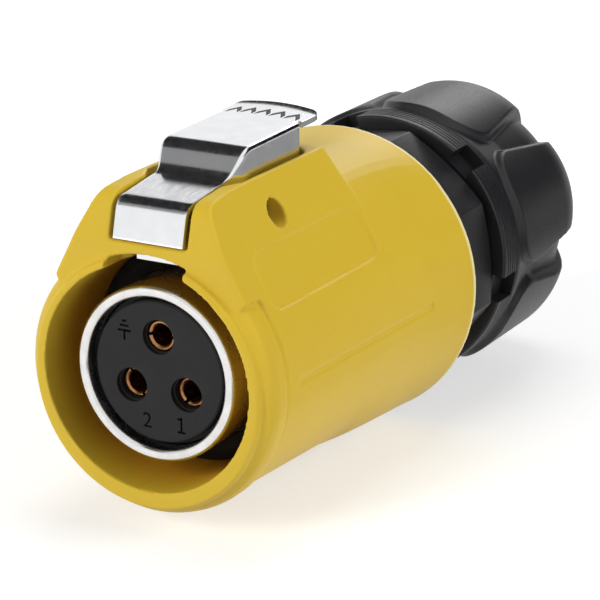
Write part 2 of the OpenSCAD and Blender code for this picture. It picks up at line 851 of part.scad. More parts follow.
module rear_insert() {
    color("#d9d6cc")
        difference() {
            bar_y(insert_r, split_y, rear_insert_end);
            at_contacts() {
                bar_y(contact_r + fit, split_y - over, rear_insert_end + over);
                bar_y(collar_r + fit, split_y - over, tail_y + fit);
            }
        }
}

module insert_clip() {
    outer = ring_inner_r + clip_bite - fit;
    inner = insert_r - 1;
    clip_y = rear_insert_end + 2 * fit;
    gap = 4;
    color("#8d9095")
        difference() {
            bar_y(outer, clip_y, clip_y + clip_len - 2 * fit);
            bar_y(inner, clip_y - over, clip_y + clip_len + over);
            translate([-gap / 2, clip_y - over, -far])
                cube([gap, clip_len + 2 * over, far]);
        }
}

// One turned contact: a slit socket, a collar and a tail with a clamping screw hole
module contact(angle, lead) {
    mouth = contact_y - lead;
    soft = 0.2;
    around(angle, contact_circle_r)
        difference() {
            turn_y()
                polygon([[0, mouth], [contact_r - soft, mouth], [contact_r, mouth + soft],
                    [contact_r, collar_y], [collar_r, collar_y], [collar_r, tail_y], [contact_r, tail_y],
                    [contact_r, tail_end], [0, tail_end]]);
            bar_y(socket_r, mouth - over, contact_y + socket_depth);
            turn_y()
                polygon([[0, mouth - soft], [socket_r + 2 * soft, mouth - soft],
                    [socket_r - soft, mouth + 2 * soft], [0, mouth + 2 * soft]]);
            translate([-slit_w / 2, mouth - over, -far / 2])
                cube([slit_w, slit_len + over, far]);
            bar_y(wire_hole_d / 2, tail_end - wire_hole_depth, tail_end + over);
            translate([0, screw_y, 0])
                rotate([0, 90, 0])
                    cylinder(d = screw_d + 2 * fit, h = far);
        }
}

module contact_earth() {
    color("#c58b3a")
        contact(contact_angles[0], earth_lead);
}

module contact_1() {
    color("#c58b3a")
        contact(contact_angles[1], 0);
}

module contact_2() {
    color("#c58b3a")
        contact(contact_angles[2], 0);
}

module terminal_screws() {
    drive_w = 0.4;
    color("#b4b6ba")
        for (angle = contact_angles)
            around(angle, contact_circle_r + wire_hole_d / 2 - 0.4)
                translate([0, screw_y, 0])
                    difference() {
                        rotate([0, 90, 0])
                            cylinder(d = screw_d, h = screw_len);
                        translate([screw_len - 0.5, -drive_w / 2, -far / 2])
                            cube([far, drive_w, far]);
                    }
}

module rear_body() {
    flat_r = octagon_r * cos(22.5);
    chamfer = octagon_r - flat_r;
    color("#26252a")
        difference() {
            union() {
                bar_y(spigot_r, thread_y + 1.6, octagon_y + over);
                intersection() {
                    prism_y(octagon_y, octagon_end)
                        rotate(octagon_turn)
                            circle(octagon_r, $fn = 8);
                    turn_y()
                        polygon([[0, octagon_y - over], [octagon_r + over, octagon_y - over],
                            [octagon_r + over, octagon_end - 1.7 * chamfer],
                            [flat_r - 0.3, octagon_end], [0, octagon_end]]);
                }
                bar_y(rear_spigot_r, octagon_end - over, spigot_end);
            }
            bar_y(spigot_bore_r, thread_y, claw_y + over);
            bar_y(chamber_bore_r, claw_y - fit, spigot_end + over);
        }
}

module body_o_ring() {
    color("#232327")
        o_ring(spigot_r + 2 * fit + body_ring_r, body_ring_r, shell_len - body_ring_r);
}

module clamp_claw() {
    tip = seal_end - fit;
    taper = 3;
    inner = finger_r - finger_wall;
    color("#3a3a3f")
        difference() {
            turn_y()
                polygon([[gland_bore_r, claw_y], [finger_r, claw_y], [finger_r, tip - taper],
                    [finger_r - 0.6, tip], [inner, tip], [inner, seal_y - fit],
                    [gland_bore_r, seal_y - fit]]);
            for (i = [0 : fingers - 1])
                rotate([0, 360 * i / fingers, 0])
                    translate([0, seal_y + 2, -finger_slot / 2])
                        cube([far, far, finger_slot]);
        }
}

module cable_seal() {
    outer = cable_r + seal_wall;
    soft = 1.2;
    color("#303034")
        turn_y()
            polygon([[gland_bore_r + soft / 2, seal_y], [outer, seal_y], [outer, seal_end - soft],
                [outer - soft, seal_end], [gland_bore_r + soft / 2, seal_end],
                [gland_bore_r, seal_end - soft], [gland_bore_r, seal_y + soft]]);
}

module thrust_ring() {
    color("#4a4a4f")
        difference() {
            bar_y(thrust_r, thrust_y, thrust_y + thrust_len);
            bar_y(gland_bore_r, thrust_y - over, thrust_y + thrust_len + over);
        }
}

// Points of a dome of quarter-ellipse section that ends the nut at the rear
function nut_dome(front_r, end_r, end) =
    let (steps = 10)
    [for (i = [0 : steps])
        let (a = 90 * i / steps)
        [end_r + (front_r - end_r) * cos(a), dome_y + (end - dome_y) * sin(a)]];

// Outline of the nut between its lobes: band, cone and dome
module core_profile() {
    soft = 0.3;
    polygon(concat([[0, nut_y], [band_r - soft, nut_y], [band_r, nut_y + soft], [band_r, lobe_y],
        [core_r, lobe_y + core_cone]],
        nut_dome(core_r - 0.1, nut_end_r, nut_end), [[0, nut_end]]));
}

// Outline of the turned piece that the lobes belong to
module lobe_profile() {
    soft = 0.3;
    polygon(concat([[0, lobe_y], [lobe_r - soft, lobe_y], [lobe_r, lobe_y + soft]],
        nut_dome(lobe_r - 0.2, nut_end_r, nut_end - soft), [[0, nut_end - soft]]));
}

// One lobe seen from outside, as station and width: rounded at the front and narrower at the rear
module lobe_plan() {
    half = lobe_w / 2;
    end = lobe_end_w / 2;
    union() {
        polygon([[lobe_y, lobe_corner - half], [lobe_y, half - lobe_corner],
            [lobe_y + lobe_corner, half], [nut_end + over, end], [nut_end + over, -end],
            [lobe_y + lobe_corner, -half]]);
        for (side = [-1, 1])
            translate([lobe_y + lobe_corner, side * (half - lobe_corner)])
                circle(lobe_corner);
    }
}

module gland_nut() {
    cone_y = spigot_end + 1.5;
    seat_r = thrust_r + 2 * face_gap;
    color("#2a292e")
        difference() {
            union() {
                turn_y()
                    core_profile();
                intersection() {
                    turn_y()
                        lobe_profile();
                    for (i = [0 : lobes - 1])
                        rotate([0, -valley_turn - 360 * (i + 0.5) / lobes, 0])
                            translate([lobe_r, 0, 0])
                                prism_x(lobe_r)
                                    lobe_plan();
                }
            }
            for (i = [0 : lobes - 1])
                rotate([0, -valley_turn - 360 * i / lobes, 0])
                    translate([band_r - 1.6, nut_y - over, -notch_w / 2])
                        cube([far, notch_len + over, notch_w]);
            turn_y()
                polygon([[0, nut_y - over], [nut_bore_r, nut_y - over], [nut_bore_r, cone_y],
                    [seat_r, nut_seat], [0, nut_seat]]);
            bar_y(cable_r, nut_seat - over, nut_end + over);
        }
}

front_shell();
push_latch();
latch_pin();
latch_spring();
shield_ring();
insert_o_ring();
interface_seal();
insert_retainer();
contact_insert();
rear_insert();
insert_clip();
contact_earth();
contact_1();
contact_2();
terminal_screws();
rear_body();
body_o_ring();
clamp_claw();
cable_seal();
thrust_ring();
gland_nut();
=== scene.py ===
"""Looks of a waterproof circular cable connector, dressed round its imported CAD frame.

Sizes are in millimetres where a name says so, and every mesh is in metres in the CAD's own frame:
the mating face stands at the origin, the plug runs along +Y and the latch is on top, +Z.
"""

import logging
import math
from contextlib import contextmanager
from dataclasses import dataclass
from enum import Enum
from types import SimpleNamespace
from typing import Any, Iterable, Iterator, Sequence

import bmesh
import bpy
import numpy as np
from mathutils import Matrix, Vector

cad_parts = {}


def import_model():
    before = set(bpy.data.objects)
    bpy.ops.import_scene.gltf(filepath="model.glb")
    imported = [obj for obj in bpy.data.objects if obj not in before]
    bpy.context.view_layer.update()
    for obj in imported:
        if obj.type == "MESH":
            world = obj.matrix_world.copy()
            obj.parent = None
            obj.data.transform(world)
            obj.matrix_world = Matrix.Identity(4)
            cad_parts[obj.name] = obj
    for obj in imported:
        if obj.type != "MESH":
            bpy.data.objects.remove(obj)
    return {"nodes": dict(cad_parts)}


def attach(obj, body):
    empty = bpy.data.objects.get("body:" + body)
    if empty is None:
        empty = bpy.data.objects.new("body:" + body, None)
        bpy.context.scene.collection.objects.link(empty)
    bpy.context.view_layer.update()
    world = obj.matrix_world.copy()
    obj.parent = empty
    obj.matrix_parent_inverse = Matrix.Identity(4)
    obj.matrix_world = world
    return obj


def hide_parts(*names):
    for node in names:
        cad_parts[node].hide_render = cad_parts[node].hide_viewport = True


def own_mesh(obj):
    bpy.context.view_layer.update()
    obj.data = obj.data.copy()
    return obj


frame: dict[str, Any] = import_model()

LOG = logging.getLogger("connector")
MM = 0.001
WHITE = (1, 1, 1, 1)
SHARP_DEG = 32.0
SMOOTH_FACTOR = 0.5

Point = tuple[float, float]
Triple = tuple[float, float, float]
Material = bpy.types.Material
Mesh = bpy.types.Mesh
Piece = bpy.types.Object
Socket = bpy.types.NodeSocket


class Body(Enum):
    """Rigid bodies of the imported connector."""

    CONNECTOR = "connector"
    LATCH = "latch"
    SLIP_RING = "slip_ring"
    NUT = "nut"


class Slot(Enum):
    """Material slots of the record."""

    YELLOW_SHELL = "yellow_shell"
    POLISHED_STEEL = "polished_steel"
    STEEL = "steel"
    NICKEL = "nickel"
    SOCKET_BRASS = "socket_brass"
    DARK_INSERT = "dark_insert"
    PALE_INSERT = "pale_insert"
    BLACK_BODY = "black_body"
    SEAL_RUBBER = "seal_rubber"


def configure(target: Any, **settings: Any) -> None:
    """Sets properties of one of Blender's items."""
    for key, value in settings.items():
        setattr(target, key, value)


class NodeBuilder:
    """Fills a node tree node by node."""

    def __init__(self, tree: bpy.types.NodeTree) -> None:
        """Keeps the tree that the nodes go into."""
        self.tree = tree

    def feed(self, value: Any, target: Socket) -> None:
        """Feeds an input.

        Args:
            value: A plain value, or the output that gives it.
            target: The input.
        """
        if isinstance(value, Socket):
            self.tree.links.new(value, target)
        else:
            target.default_value = value

    def add(self, kind: str, inputs: dict[Any, Any], output: Any = 0, **settings: Any) -> Socket:
        """Adds a node.

        Args:
            kind: Blender's name for the node's type, without the prefix of a geometry node.
            inputs: Values or outputs for its inputs, by name or by place.
            output: Name or place of the output that is wanted.
            **settings: Properties of the node.

        Returns:
            The output.
        """
        node = self.tree.nodes.new(kind if kind.startswith("Shader") else f"GeometryNode{kind}")
        configure(node, **settings)
        for key, value in inputs.items():
            self.feed(value, node.inputs[key])
        return node.outputs[output]

    def math(self, operation: str, *values: Any) -> Socket:
        """One of Blender's sums, of one to three values or outputs."""
        return self.add("ShaderNodeMath", dict(enumerate(values)), operation=operation)

    def spread(self, value: Any, low: Any, high: Any, start: Any, end: Any,
               style: str = "LINEAR") -> Socket:
        """Maps a value's stretch from low to high onto start to end and holds the ends."""
        inputs = {"Value": value, "From Min": low, "From Max": high, "To Min": start, "To Max": end}
        return self.add("ShaderNodeMapRange", inputs, interpolation_type=style)

    def axes(self, vector: Socket) -> Any:
        """The X, Y and Z of a vector."""
        return self.add("ShaderNodeSeparateXYZ", {0: vector}).node.outputs

    def length(self, vector: Socket) -> Socket:
        """The length of a vector."""
        return self.add("ShaderNodeVectorMath", {0: vector}, "Value", operation="LENGTH")

    def shown(self) -> Socket:
        """One for the eye, reflections and see-through rays, and none for other light.

        Returns:
            The value.
        """
        path = self.add("ShaderNodeLightPath", {}).node.outputs
        seen = self.math("MAXIMUM", path["Is Camera Ray"], path["Is Glossy Ray"])
        return self.math("MAXIMUM", seen, path["Is Transmission Ray"])


class Shader(NodeBuilder):
    """A material with one principled shader."""

    noise_roughness = 0.55
    noise_middle = (0.3, 0.7)
    bore_edge_mm = 0.3

    def __init__(self, name: str) -> None:
        """Starts the material.

        Args:
            name: Name of the material.
        """
        self.material = bpy.data.materials.new(name)
        self.material.use_nodes = True
        super().__init__(self.material.node_tree)
        self.place = self.add("ShaderNodeTexCoord", {}, "Object")

    def put(self, values: dict[str, Any]) -> None:
        """Sets the shader's own inputs to values or outputs."""
        for key, value in values.items():
            self.feed(value, self.tree.nodes["Principled BSDF"].inputs[key])

    def stretched(self, scale: Triple) -> Socket:
        """Object coordinates, stretched along the axes."""
        return self.add("ShaderNodeMapping", {"Vector": self.place, "Scale": scale})

    def noise(self, size_mm: float, detail: float, stretch: Triple = (1, 1, 1)) -> Socket:
        """A noise with features of a size, drawn out along an axis whose stretch is below one."""
        inputs = {"Vector": self.stretched(stretch), "Scale": 1 / (size_mm * MM), "Detail": detail}
        return self.add("ShaderNodeTexNoise", inputs | {"Roughness": self.noise_roughness}, "Fac")

    def between(self, noise: Socket, low: float, high: float) -> Socket:
        """Maps the middle of a noise onto a range."""
        return self.spread(noise, *self.noise_middle, low, high)

    def mix(self, share: Socket, first: Triple | Socket, second: Triple) -> Socket:
        """Mixes a share of a second colour into a first one."""
        base = first if isinstance(first, Socket) else (*first, 1)
        return self.add("ShaderNodeMix", {0: share, 6: base, 7: (*second, 1)}, 2, data_type="RGBA")

    def band(self, middle_mm: float, half_mm: float) -> Socket:
        """One in a band across the Y axis, falling to none at its edges; it places a painted
        highlight.
        """
        off = self.math("SUBTRACT", self.axes(self.place)["Y"], middle_mm * MM)
        return self.spread(self.math("ABSOLUTE", off), half_mm / 2 * MM, half_mm * MM, 1.0, 0.0)

    def bore(self, radius_mm: float, depth_mm: Point) -> Socket:
        """One deep in a bore along the Y axis, and none at its mouth and outside it; it places
        painted shade.

        Args:
            radius_mm: Radius of the bore.
            depth_mm: Where the share starts and where it is full.

        Returns:
            The share.
        """
        off = self.length(self.stretched((1, 0, 1)))
        inside = self.spread(off, radius_mm * MM, (radius_mm + self.bore_edge_mm) * MM, 1.0, 0.0)
        start, full = (depth * MM for depth in depth_mm)
        return self.spread(self.axes(self.place)["Y"], start, full, 0.0, inside)

    def bump(self, height: Socket, depth_mm: float, strength: float) -> None:
        """Feeds a height field to the shader's normal."""
        inputs = {"Height": height, "Distance": depth_mm * MM, "Strength": strength}
        self.put({"Normal": self.add("ShaderNodeBump", inputs)})

    def glow(self, shade: float, roughness: float, strength: float | Socket) -> None:
        """Makes the material matt, with a white glow."""
        self.put({"Base Color": (shade, shade, shade, 1), "Roughness": roughness,
                  "Specular IOR Level": 0.0, "Emission Color": WHITE,
                  "Emission Strength": strength})


@dataclass(frozen=True)
class MouldedPlastic:
    """Moulded plastic with a fine spark-eroded grain, faint flow marks, painted highlight and
    painted shade.
    """

    name: str
    colour: Triple
    shade: Triple
    roughness: Point = (0.4, 0.5)
    specular: float = 0.4
    grain_mm: float = 0.14
    grain_depth_mm: float = 0.01
    flow_mm: float = 4.0
    relief: float = 0.6
    # A band across Y lightened in the base colour: a painted highlight.
    painted_highlight_band_mm: Point | None = None
    painted_highlight_colour: Triple = (0.95, 0.82, 0.42)
    # Darker orange deep in a bore: painted shade.
    bore_painted_shade_mm: tuple[float, Point] | None = None
    bore_painted_shade_colour: Triple = (0.6, 0.3, 0.02)

    def material(self) -> Material:
        """Builds the finish.

        Returns:
            The material.
        """
        shader = Shader(self.name)
        flow = shader.noise(self.flow_mm, detail=4.0)
        grain = shader.noise(self.grain_mm, detail=2.0)
        colour = shader.mix(shader.between(flow, 0, 1), self.colour, self.shade)
        # Pale band in the base colour: a painted highlight, where a reflection would catch the rim.
        if self.painted_highlight_band_mm:
            colour = shader.mix(shader.band(*self.painted_highlight_band_mm), colour, self.painted_highlight_colour)
        # Darker orange deep in the bore: painted shade, where little light reaches.
        if self.bore_painted_shade_mm:
            colour = shader.mix(shader.bore(*self.bore_painted_shade_mm), colour, self.bore_painted_shade_colour)
        shader.put({"Base Color": colour, "Roughness": shader.between(grain, *self.roughness),
                    "Specular IOR Level": self.specular})
        shader.bump(grain, self.grain_depth_mm, self.relief)
        return shader.material


@dataclass(frozen=True)
class RolledSteel:
    """Polished sheet or drawn wire with fine grain along one direction."""

    name: str
    colour: Triple
    shade: Triple
    roughness: Point
    grain_mm: float = 0.2
    stretch: Triple = (1, 0.12, 1)
    grain_depth_mm: float = 0.002
    cloud_mm: float = 2.5
    relief: float = 0.5

    def material(self) -> Material:
        """Builds the finish.

        Returns:
            The material.
        """
        shader = Shader(self.name)
        grain = shader.noise(self.grain_mm, 3.0, self.stretch)
        cloud = shader.between(shader.noise(self.cloud_mm, detail=3.0), 0, 1)
        shader.put({"Base Color": shader.mix(cloud, self.colour, self.shade), "Metallic": 1.0,
                    "Roughness": shader.between(grain, *self.roughness)})
        shader.bump(grain, self.grain_depth_mm, self.relief)
        return shader.material


@dataclass(frozen=True)
class TurnedMetal:
    """Metal with fine tool rings round an axis that lies along Y."""

    name: str
    colour: Triple
    shade: Triple
    roughness: Point
    ring_mm: float = 0.12
    ring_depth_mm: float = 0.002
    cloud_mm: float = 1.6
    relief: float = 0.5

    def material(self) -> Material:
        """Builds the finish.

        Returns:
            The material.
        """
        shader = Shader(self.name)
        wave = {"Vector": shader.place, "Scale": 0.3 / (self.ring_mm * MM), "Distortion": 0.6,
                "Detail": 2.0}
        rings = shader.add("ShaderNodeTexWave", wave, "Fac", wave_type="RINGS", rings_direction="Y")
        cloud = shader.noise(self.cloud_mm, detail=4.0)
        colour = shader.mix(shader.between(cloud, 0, 1), self.colour, self.shade)
        shader.put({"Base Color": colour, "Metallic": 1.0,
                    "Roughness": shader.between(cloud, *self.roughness)})
        shader.bump(rings, self.ring_depth_mm, self.relief)
        return shader.material


@dataclass(frozen=True)
class SoftRubber:
    """Dull rubber with a dusty bloom."""

    name: str
    colour: Triple
    bloom: Triple
    roughness: Point = (0.65, 0.85)
    specular: float = 0.25
    bloom_mm: float = 1.2
    bloom_share: float = 0.6
    grain_mm: float = 0.2
    grain_depth_mm: float = 0.012
    relief: float = 0.5

    def material(self) -> Material:
        """Builds the finish.

        Returns:
            The material.
        """
        shader = Shader(self.name)
        bloom = shader.noise(self.bloom_mm, detail=5.0)
        colour = shader.mix(shader.between(bloom, 0, self.bloom_share), self.colour, self.bloom)
        shader.put({"Base Color": colour, "Roughness": shader.between(bloom, *self.roughness),
                    "Specular IOR Level": self.specular})
        shader.bump(shader.noise(self.grain_mm, detail=3.0), self.grain_depth_mm, self.relief)
        return shader.material


FINISHES: dict[Slot, Any] = {
    Slot.YELLOW_SHELL: MouldedPlastic(
        "yellow_satin_plastic", (0.77, 0.53, 0.038), (0.755, 0.515, 0.036), specular=0.45,
        # The cream rim band is a painted highlight; the orange bore colour is painted shade in the
        # mouth.
        painted_highlight_band_mm=(45.25, 0.45), bore_painted_shade_mm=(13.1, (0.6, 6.0))),
    Slot.POLISHED_STEEL: RolledSteel(
        "polished_latch_steel", (0.86, 0.865, 0.88), (0.8, 0.81, 0.83), (0.12, 0.24)),
    Slot.STEEL: RolledSteel("drawn_steel", (0.62, 0.63, 0.65), (0.5, 0.51, 0.53), (0.22, 0.36)),
    Slot.NICKEL: TurnedMetal("satin_nickel", (0.8, 0.79, 0.785), (0.7, 0.69, 0.685), (0.18, 0.3)),
    Slot.SOCKET_BRASS: TurnedMetal(
        "turned_brass", (0.5, 0.25, 0.1), (0.36, 0.16, 0.06), (0.2, 0.36)),
    Slot.DARK_INSERT: MouldedPlastic(
        "dark_insulator", (0.016, 0.0152, 0.0165), (0.0135, 0.013, 0.014), (0.42, 0.55), 0.25,
        grain_mm=0.12, grain_depth_mm=0.006, flow_mm=2.0),
    Slot.PALE_INSERT: MouldedPlastic(
        "pale_insulator", (0.62, 0.59, 0.5), (0.55, 0.52, 0.44), (0.5, 0.6)),
    Slot.BLACK_BODY: MouldedPlastic(
        "black_satin_plastic", (0.011, 0.0102, 0.012), (0.009, 0.0085, 0.01), (0.38, 0.52), 0.5,
        grain_mm=0.2, grain_depth_mm=0.016, flow_mm=3.0),
    Slot.SEAL_RUBBER: SoftRubber("seal_rubber", (0.012, 0.012, 0.013), (0.03, 0.03, 0.032)),
}
PRESS_INK = MouldedPlastic(
    "press_mark_ink", (0.012, 0.012, 0.014), (0.02, 0.02, 0.022), (0.4, 0.55), 0.3)
# Near-black for the sunk faces of the engraved marks: painted shade in the engraving.
MARK_PAINTED_SHADE = MouldedPlastic(
    "mark_filling", (0.006, 0.006, 0.007), (0.008, 0.008, 0.009), (0.6, 0.7), 0.1)


class Paintbox:
    """Keeps one material for each slot of the record."""

    def __init__(self) -> None:
        """Builds every finish once."""
        self._made = {slot: finish.material() for slot, finish in FINISHES.items()}

    def __getitem__(self, slot: Slot) -> Material:
        """The material of a slot."""
        return self._made[slot]

    def dress(self, piece: Piece, slot: Slot) -> None:
        """Gives a piece the material of a slot all over."""
        piece.data.materials.clear()
        piece.data.materials.append(self._made[slot])


class GeometryTree(NodeBuilder):
    """A Geometry Nodes tree that makes one piece from named inputs."""

    def __init__(self, name: str, **values: Any) -> None:
        """Starts a tree with a geometry input and output, and an input for each value.

        Args:
            name: Name of the tree and of its piece.
            **values: Counts, measures and objects.
        """
        super().__init__(bpy.data.node_groups.new(name, "GeometryNodeTree"))
        self.name = name
        self.size = SimpleNamespace()
        self.values: dict[str, Any] = {}
        for way in ("INPUT", "OUTPUT"):
            self.tree.interface.new_socket("Geometry", in_out=way, socket_type="NodeSocketGeometry")
        self.source = self.tree.nodes.new("NodeGroupInput")
        for key, value in values.items():
            kind = {int: "Int", float: "Float"}.get(type(value), "Object")
            item = self.tree.interface.new_socket(
                key.replace("_", " ").title(), in_out="INPUT", socket_type=f"NodeSocket{kind}")
            self.values[item.identifier] = value
            setattr(self.size, key, self.source.outputs[item.name])

    @property
    def geometry(self) -> Socket:
        """The geometry that comes in."""
        return self.source.outputs["Geometry"]

    def hypot(self, a: Any, b: Any) -> Socket:
        """Length of a line with two given sides."""
        squares = (self.math("MULTIPLY", side, side) for side in (a, b))
        return self.math("SQRT", self.math("ADD", *squares))

    def vector(self, x: Any = 0.0, y: Any = 0.0, z: Any = 0.0) -> Socket:
        """Joins three values to a vector."""
        return self.add("ShaderNodeCombineXYZ", {0: x, 1: y, 2: z})

    def helix(self, radius: Socket, length: Socket, turns: Socket, **more: Any) -> Socket:
        """A curve that winds up the Z axis."""
        inputs = {key.title(): value for key, value in more.items()}
        inputs |= {"Start Radius": radius, "End Radius": radius}
        return self.add("CurveSpiral", inputs | {"Height": length, "Rotations": turns})

    def wire(self, curve: Socket, radius: Socket, sides: int) -> Socket:
        """A round wire with closed ends along a curve."""
        section = self.add("CurvePrimitiveCircle", {"Resolution": sides, "Radius": radius})
        inputs = {"Curve": curve, "Profile Curve": section, "Fill Caps": True}
        return self.add("CurveToMesh", inputs)

    def grow(self, shape: Socket, material: Material, blank: Mesh | None = None) -> Piece:
        """Ends the tree in smooth faces of one material and keeps its result as a plain mesh.

        Args:
            shape: The finished geometry.
            material: Its material.
            blank: Mesh that the tree starts from.

        Returns:
            The piece.
        """
        whole = self.add("RealizeInstances", {"Geometry": shape})
        smooth = self.add("SetShadeSmooth", {"Geometry": whole, "Shade Smooth": True})
        painted = self.add("SetMaterial", {"Geometry": smooth, "Material": material})
        self.feed(painted, self.tree.nodes.new("NodeGroupOutput").inputs["Geometry"])
        piece = add_piece(self.name, blank or bpy.data.meshes.new(self.name))
        modifier = piece.modifiers.new(self.name, "NODES")
        modifier.node_group = self.tree
        for key, value in self.values.items():
            modifier[key] = value
        freeze(piece)
        return piece


def add_piece(name: str, data: bpy.types.ID) -> Piece:
    """Puts a mesh, curve, lamp or camera into the scene as an object at the origin.

    Args:
        name: Name of the object.
        data: What it shows.

    Returns:
        The object.
    """
    piece = bpy.data.objects.new(name, data)
    bpy.context.scene.collection.objects.link(piece)
    return piece


def modify(piece: Piece, name: str, kind: str, **settings: Any) -> None:
    """Adds a modifier of a kind to a piece."""
    configure(piece.modifiers.new(name, kind), **settings)


def freeze(piece: Piece) -> None:
    """Turns a piece and its modifiers into a plain mesh.

    Args:
        piece: The piece, whose modifiers are removed.
    """
    bpy.context.view_layer.update()
    graph = bpy.context.evaluated_depsgraph_get()
    mesh = bpy.data.meshes.new_from_object(piece.evaluated_get(graph), depsgraph=graph)
    mesh.name = piece.name
    piece.modifiers.clear()
    piece.data = mesh


def shade(piece: Piece, sharp_deg: float) -> None:
    """Shades a piece smoothly between its sharp edges."""
    piece.data.shade_smooth()
    piece.data.set_sharp_from_angle(angle=math.radians(sharp_deg))


@contextmanager
def editing(mesh: Mesh) -> Iterator[bmesh.types.BMesh]:
    """Opens a mesh and writes it back after its edits.

    Args:
        mesh: The mesh.

    Yields:
        Its open form.
    """
    shape = bmesh.new()
    shape.from_mesh(mesh)
    yield shape
    shape.to_mesh(mesh)
    shape.free()


def merged_copy(node: str, scale: float = 1.0) -> Mesh:
    """Copies a CAD node's mesh with its loose triangles merged.

    Args:
        node: Name of the node.
        scale: Factor on the copy's size.

    Returns:
        The copy.
    """
    mesh = frame["nodes"][node].data.copy()
    mesh.materials.clear()
    with editing(mesh) as shape:
        bmesh.ops.remove_doubles(shape, verts=shape.verts, dist=1e-6)
        bmesh.ops.scale(shape, vec=(scale,) * 3, verts=shape.verts)
        for part in (*shape.faces, *shape.edges):
            part.smooth = True
    if "custom_normal" in mesh.attributes:
        mesh.attributes.remove(mesh.attributes["custom_normal"])
    return mesh


@dataclass(frozen=True)
class Moulding:
    """Turns a CAD solid into a moulded form: evenly meshed, with its edges worn round."""

    voxel_mm: float
    passes: int
    share: float

    def copy(self, node: str, name: str) -> Piece:
        """Makes the moulded form of a node.

        Args:
            node: Name of the CAD node.
            name: Name of the new piece.

        Returns:
            The piece.
        """
        piece = add_piece(name, merged_copy(node, 1 / MM))
        modify(piece, "even_faces", "REMESH", mode="VOXEL", voxel_size=self.voxel_mm,
               use_smooth_shade=True)
        modify(piece, "round_edges", "SMOOTH", factor=SMOOTH_FACTOR, iterations=self.passes)
        modify(piece, "fewer_faces", "DECIMATE", ratio=self.share)
        freeze(piece)
        piece.data.transform(Matrix.Scale(MM, 4))
        piece.data.shade_smooth()
        return piece


@dataclass(frozen=True)
class EdgeBreak:
    """Turns a CAD solid into a machined form: true faces with their edges broken."""

    width_mm: float
    segments: int = 3
    flat_deg: float = 0.4

    def copy(self, node: str, name: str) -> Piece:
        """Makes the form of a node with broken edges.

        Args:
            node: Name of the CAD node.
            name: Name of the new piece.

        Returns:
            The piece.
        """
        mesh = merged_copy(node)
        with editing(mesh) as shape:
            bmesh.ops.dissolve_limit(shape, angle_limit=math.radians(self.flat_deg),
                                     verts=shape.verts, edges=shape.edges)
        piece = add_piece(name, mesh)
        modify(piece, "broken_edges", "BEVEL", width=self.width_mm * MM, segments=self.segments,
               limit_method="ANGLE", angle_limit=math.radians(SHARP_DEG), use_clamp_overlap=True)
        freeze(piece)
        shade(piece, SHARP_DEG)
        return piece


def stand_for(piece: Piece, body: Body, slot: Slot, *nodes: str) -> Piece:
    """Puts a finished piece on its body and hides the CAD nodes that it replaces.

    Args:
        piece: The piece.
        body: The body that carries it.
        slot: Not used.
        *nodes: CAD nodes that it replaces.

    Returns:
        The piece.
    """
    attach(piece, body.value)
    if nodes:
        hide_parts(*nodes)
    LOG.info("%s: %d faces on %s", piece.name, len(piece.data.polygons), body.value)
    return piece


def turned(name: str, loop: Sequence[Point], segments: int) -> Mesh:
    """Turns a closed loop of radius and station about the Y axis.

    Args:
        name: Name of the mesh.
        loop: Points in millimetres, the outside from the front to the rear and the inside back.
        segments: Faces round the axis.

    Returns:
        The mesh, in metres.
    """
    points = np.array(loop) * MM
    angles = np.linspace(0, 2 * math.pi, segments, endpoint=False)
    count = len(points)
    rings = np.empty((segments, count, 3))
    rings[:, :, 0] = np.cos(angles)[:, None] * points[None, :, 0]
    rings[:, :, 1] = points[None, :, 1]
    rings[:, :, 2] = np.sin(angles)[:, None] * points[None, :, 0]
    faces = []
    for i in range(segments):
        here, there = i * count, (i + 1) % segments * count
        for j in range(count):
            k = (j + 1) % count
            faces.append((here + j, here + k, there + k, there + j))
    mesh = bpy.data.meshes.new(name)
    mesh.from_pydata(rings.reshape(-1, 3).tolist(), [], faces)
    mesh.validate()
    with editing(mesh) as shape:
        bmesh.ops.recalc_face_normals(shape, faces=shape.faces)
    return mesh


def rounded(loop: Sequence[Triple], steps: int = 5) -> list[Point]:
    """Rounds the corners of a closed loop.

    Args:
        loop: Corners as x, y and radius.
        steps: Points on each round corner.

    Returns:
        The points of the rounded loop.
    """
    result: list[Point] = []
    for i, (x, y, radius) in enumerate(loop):
        if radius <= 0:
            result.append((x, y))
            continue
        here = Vector((x, y))
        before = Vector(loop[i - 1][:2]) - here
        after = Vector(loop[(i + 1) % len(loop)][:2]) - here
        half = before.angle(after) / 2
        reach = min(radius / math.tan(half), 0.49 * before.length, 0.49 * after.length)
        radius = reach * math.tan(half)
        middle = (before.normalized() + after.normalized()).normalized()
        centre = here + middle * radius / math.sin(half)
        start = here + before.normalized() * reach - centre
        turn = start.angle_signed(here + after.normalized() * reach - centre)
        for k in range(steps + 1):
            arm = start.copy()
            arm.rotate(Matrix.Rotation(-turn * k / steps, 2))
            result.append(tuple(centre + arm))
    return result


def evened(line: Sequence[Point], longest: float) -> list[Point]:
    """Splits the long sides of an open line.

    Args:
        line: Points of the line.
        longest: Longest side that is left whole.

    Returns:
        The line with more points.
    """
    result: list[Point] = []
    for a, b in zip(line, line[1:]):
        parts = max(1, math.ceil(math.dist(a, b) / longest))
        result += [(a[0] + (b[0] - a[0]) * k / parts, a[1] + (b[1] - a[1]) * k / parts)
                   for k in range(parts)]
    return [*result, line[-1]]


def weave(shape: bmesh.types.BMesh, rows: Sequence[Sequence[bmesh.types.BMVert]]) -> None:
    """Fills the faces between rows of points.

    Args:
        shape: The mesh that holds the points.
        rows: Rows of equal length.
    """
    for low, high in zip(rows, rows[1:]):
        for k in range(len(low) - 1):
            shape.faces.new((low[k], low[k + 1], high[k + 1], high[k]))


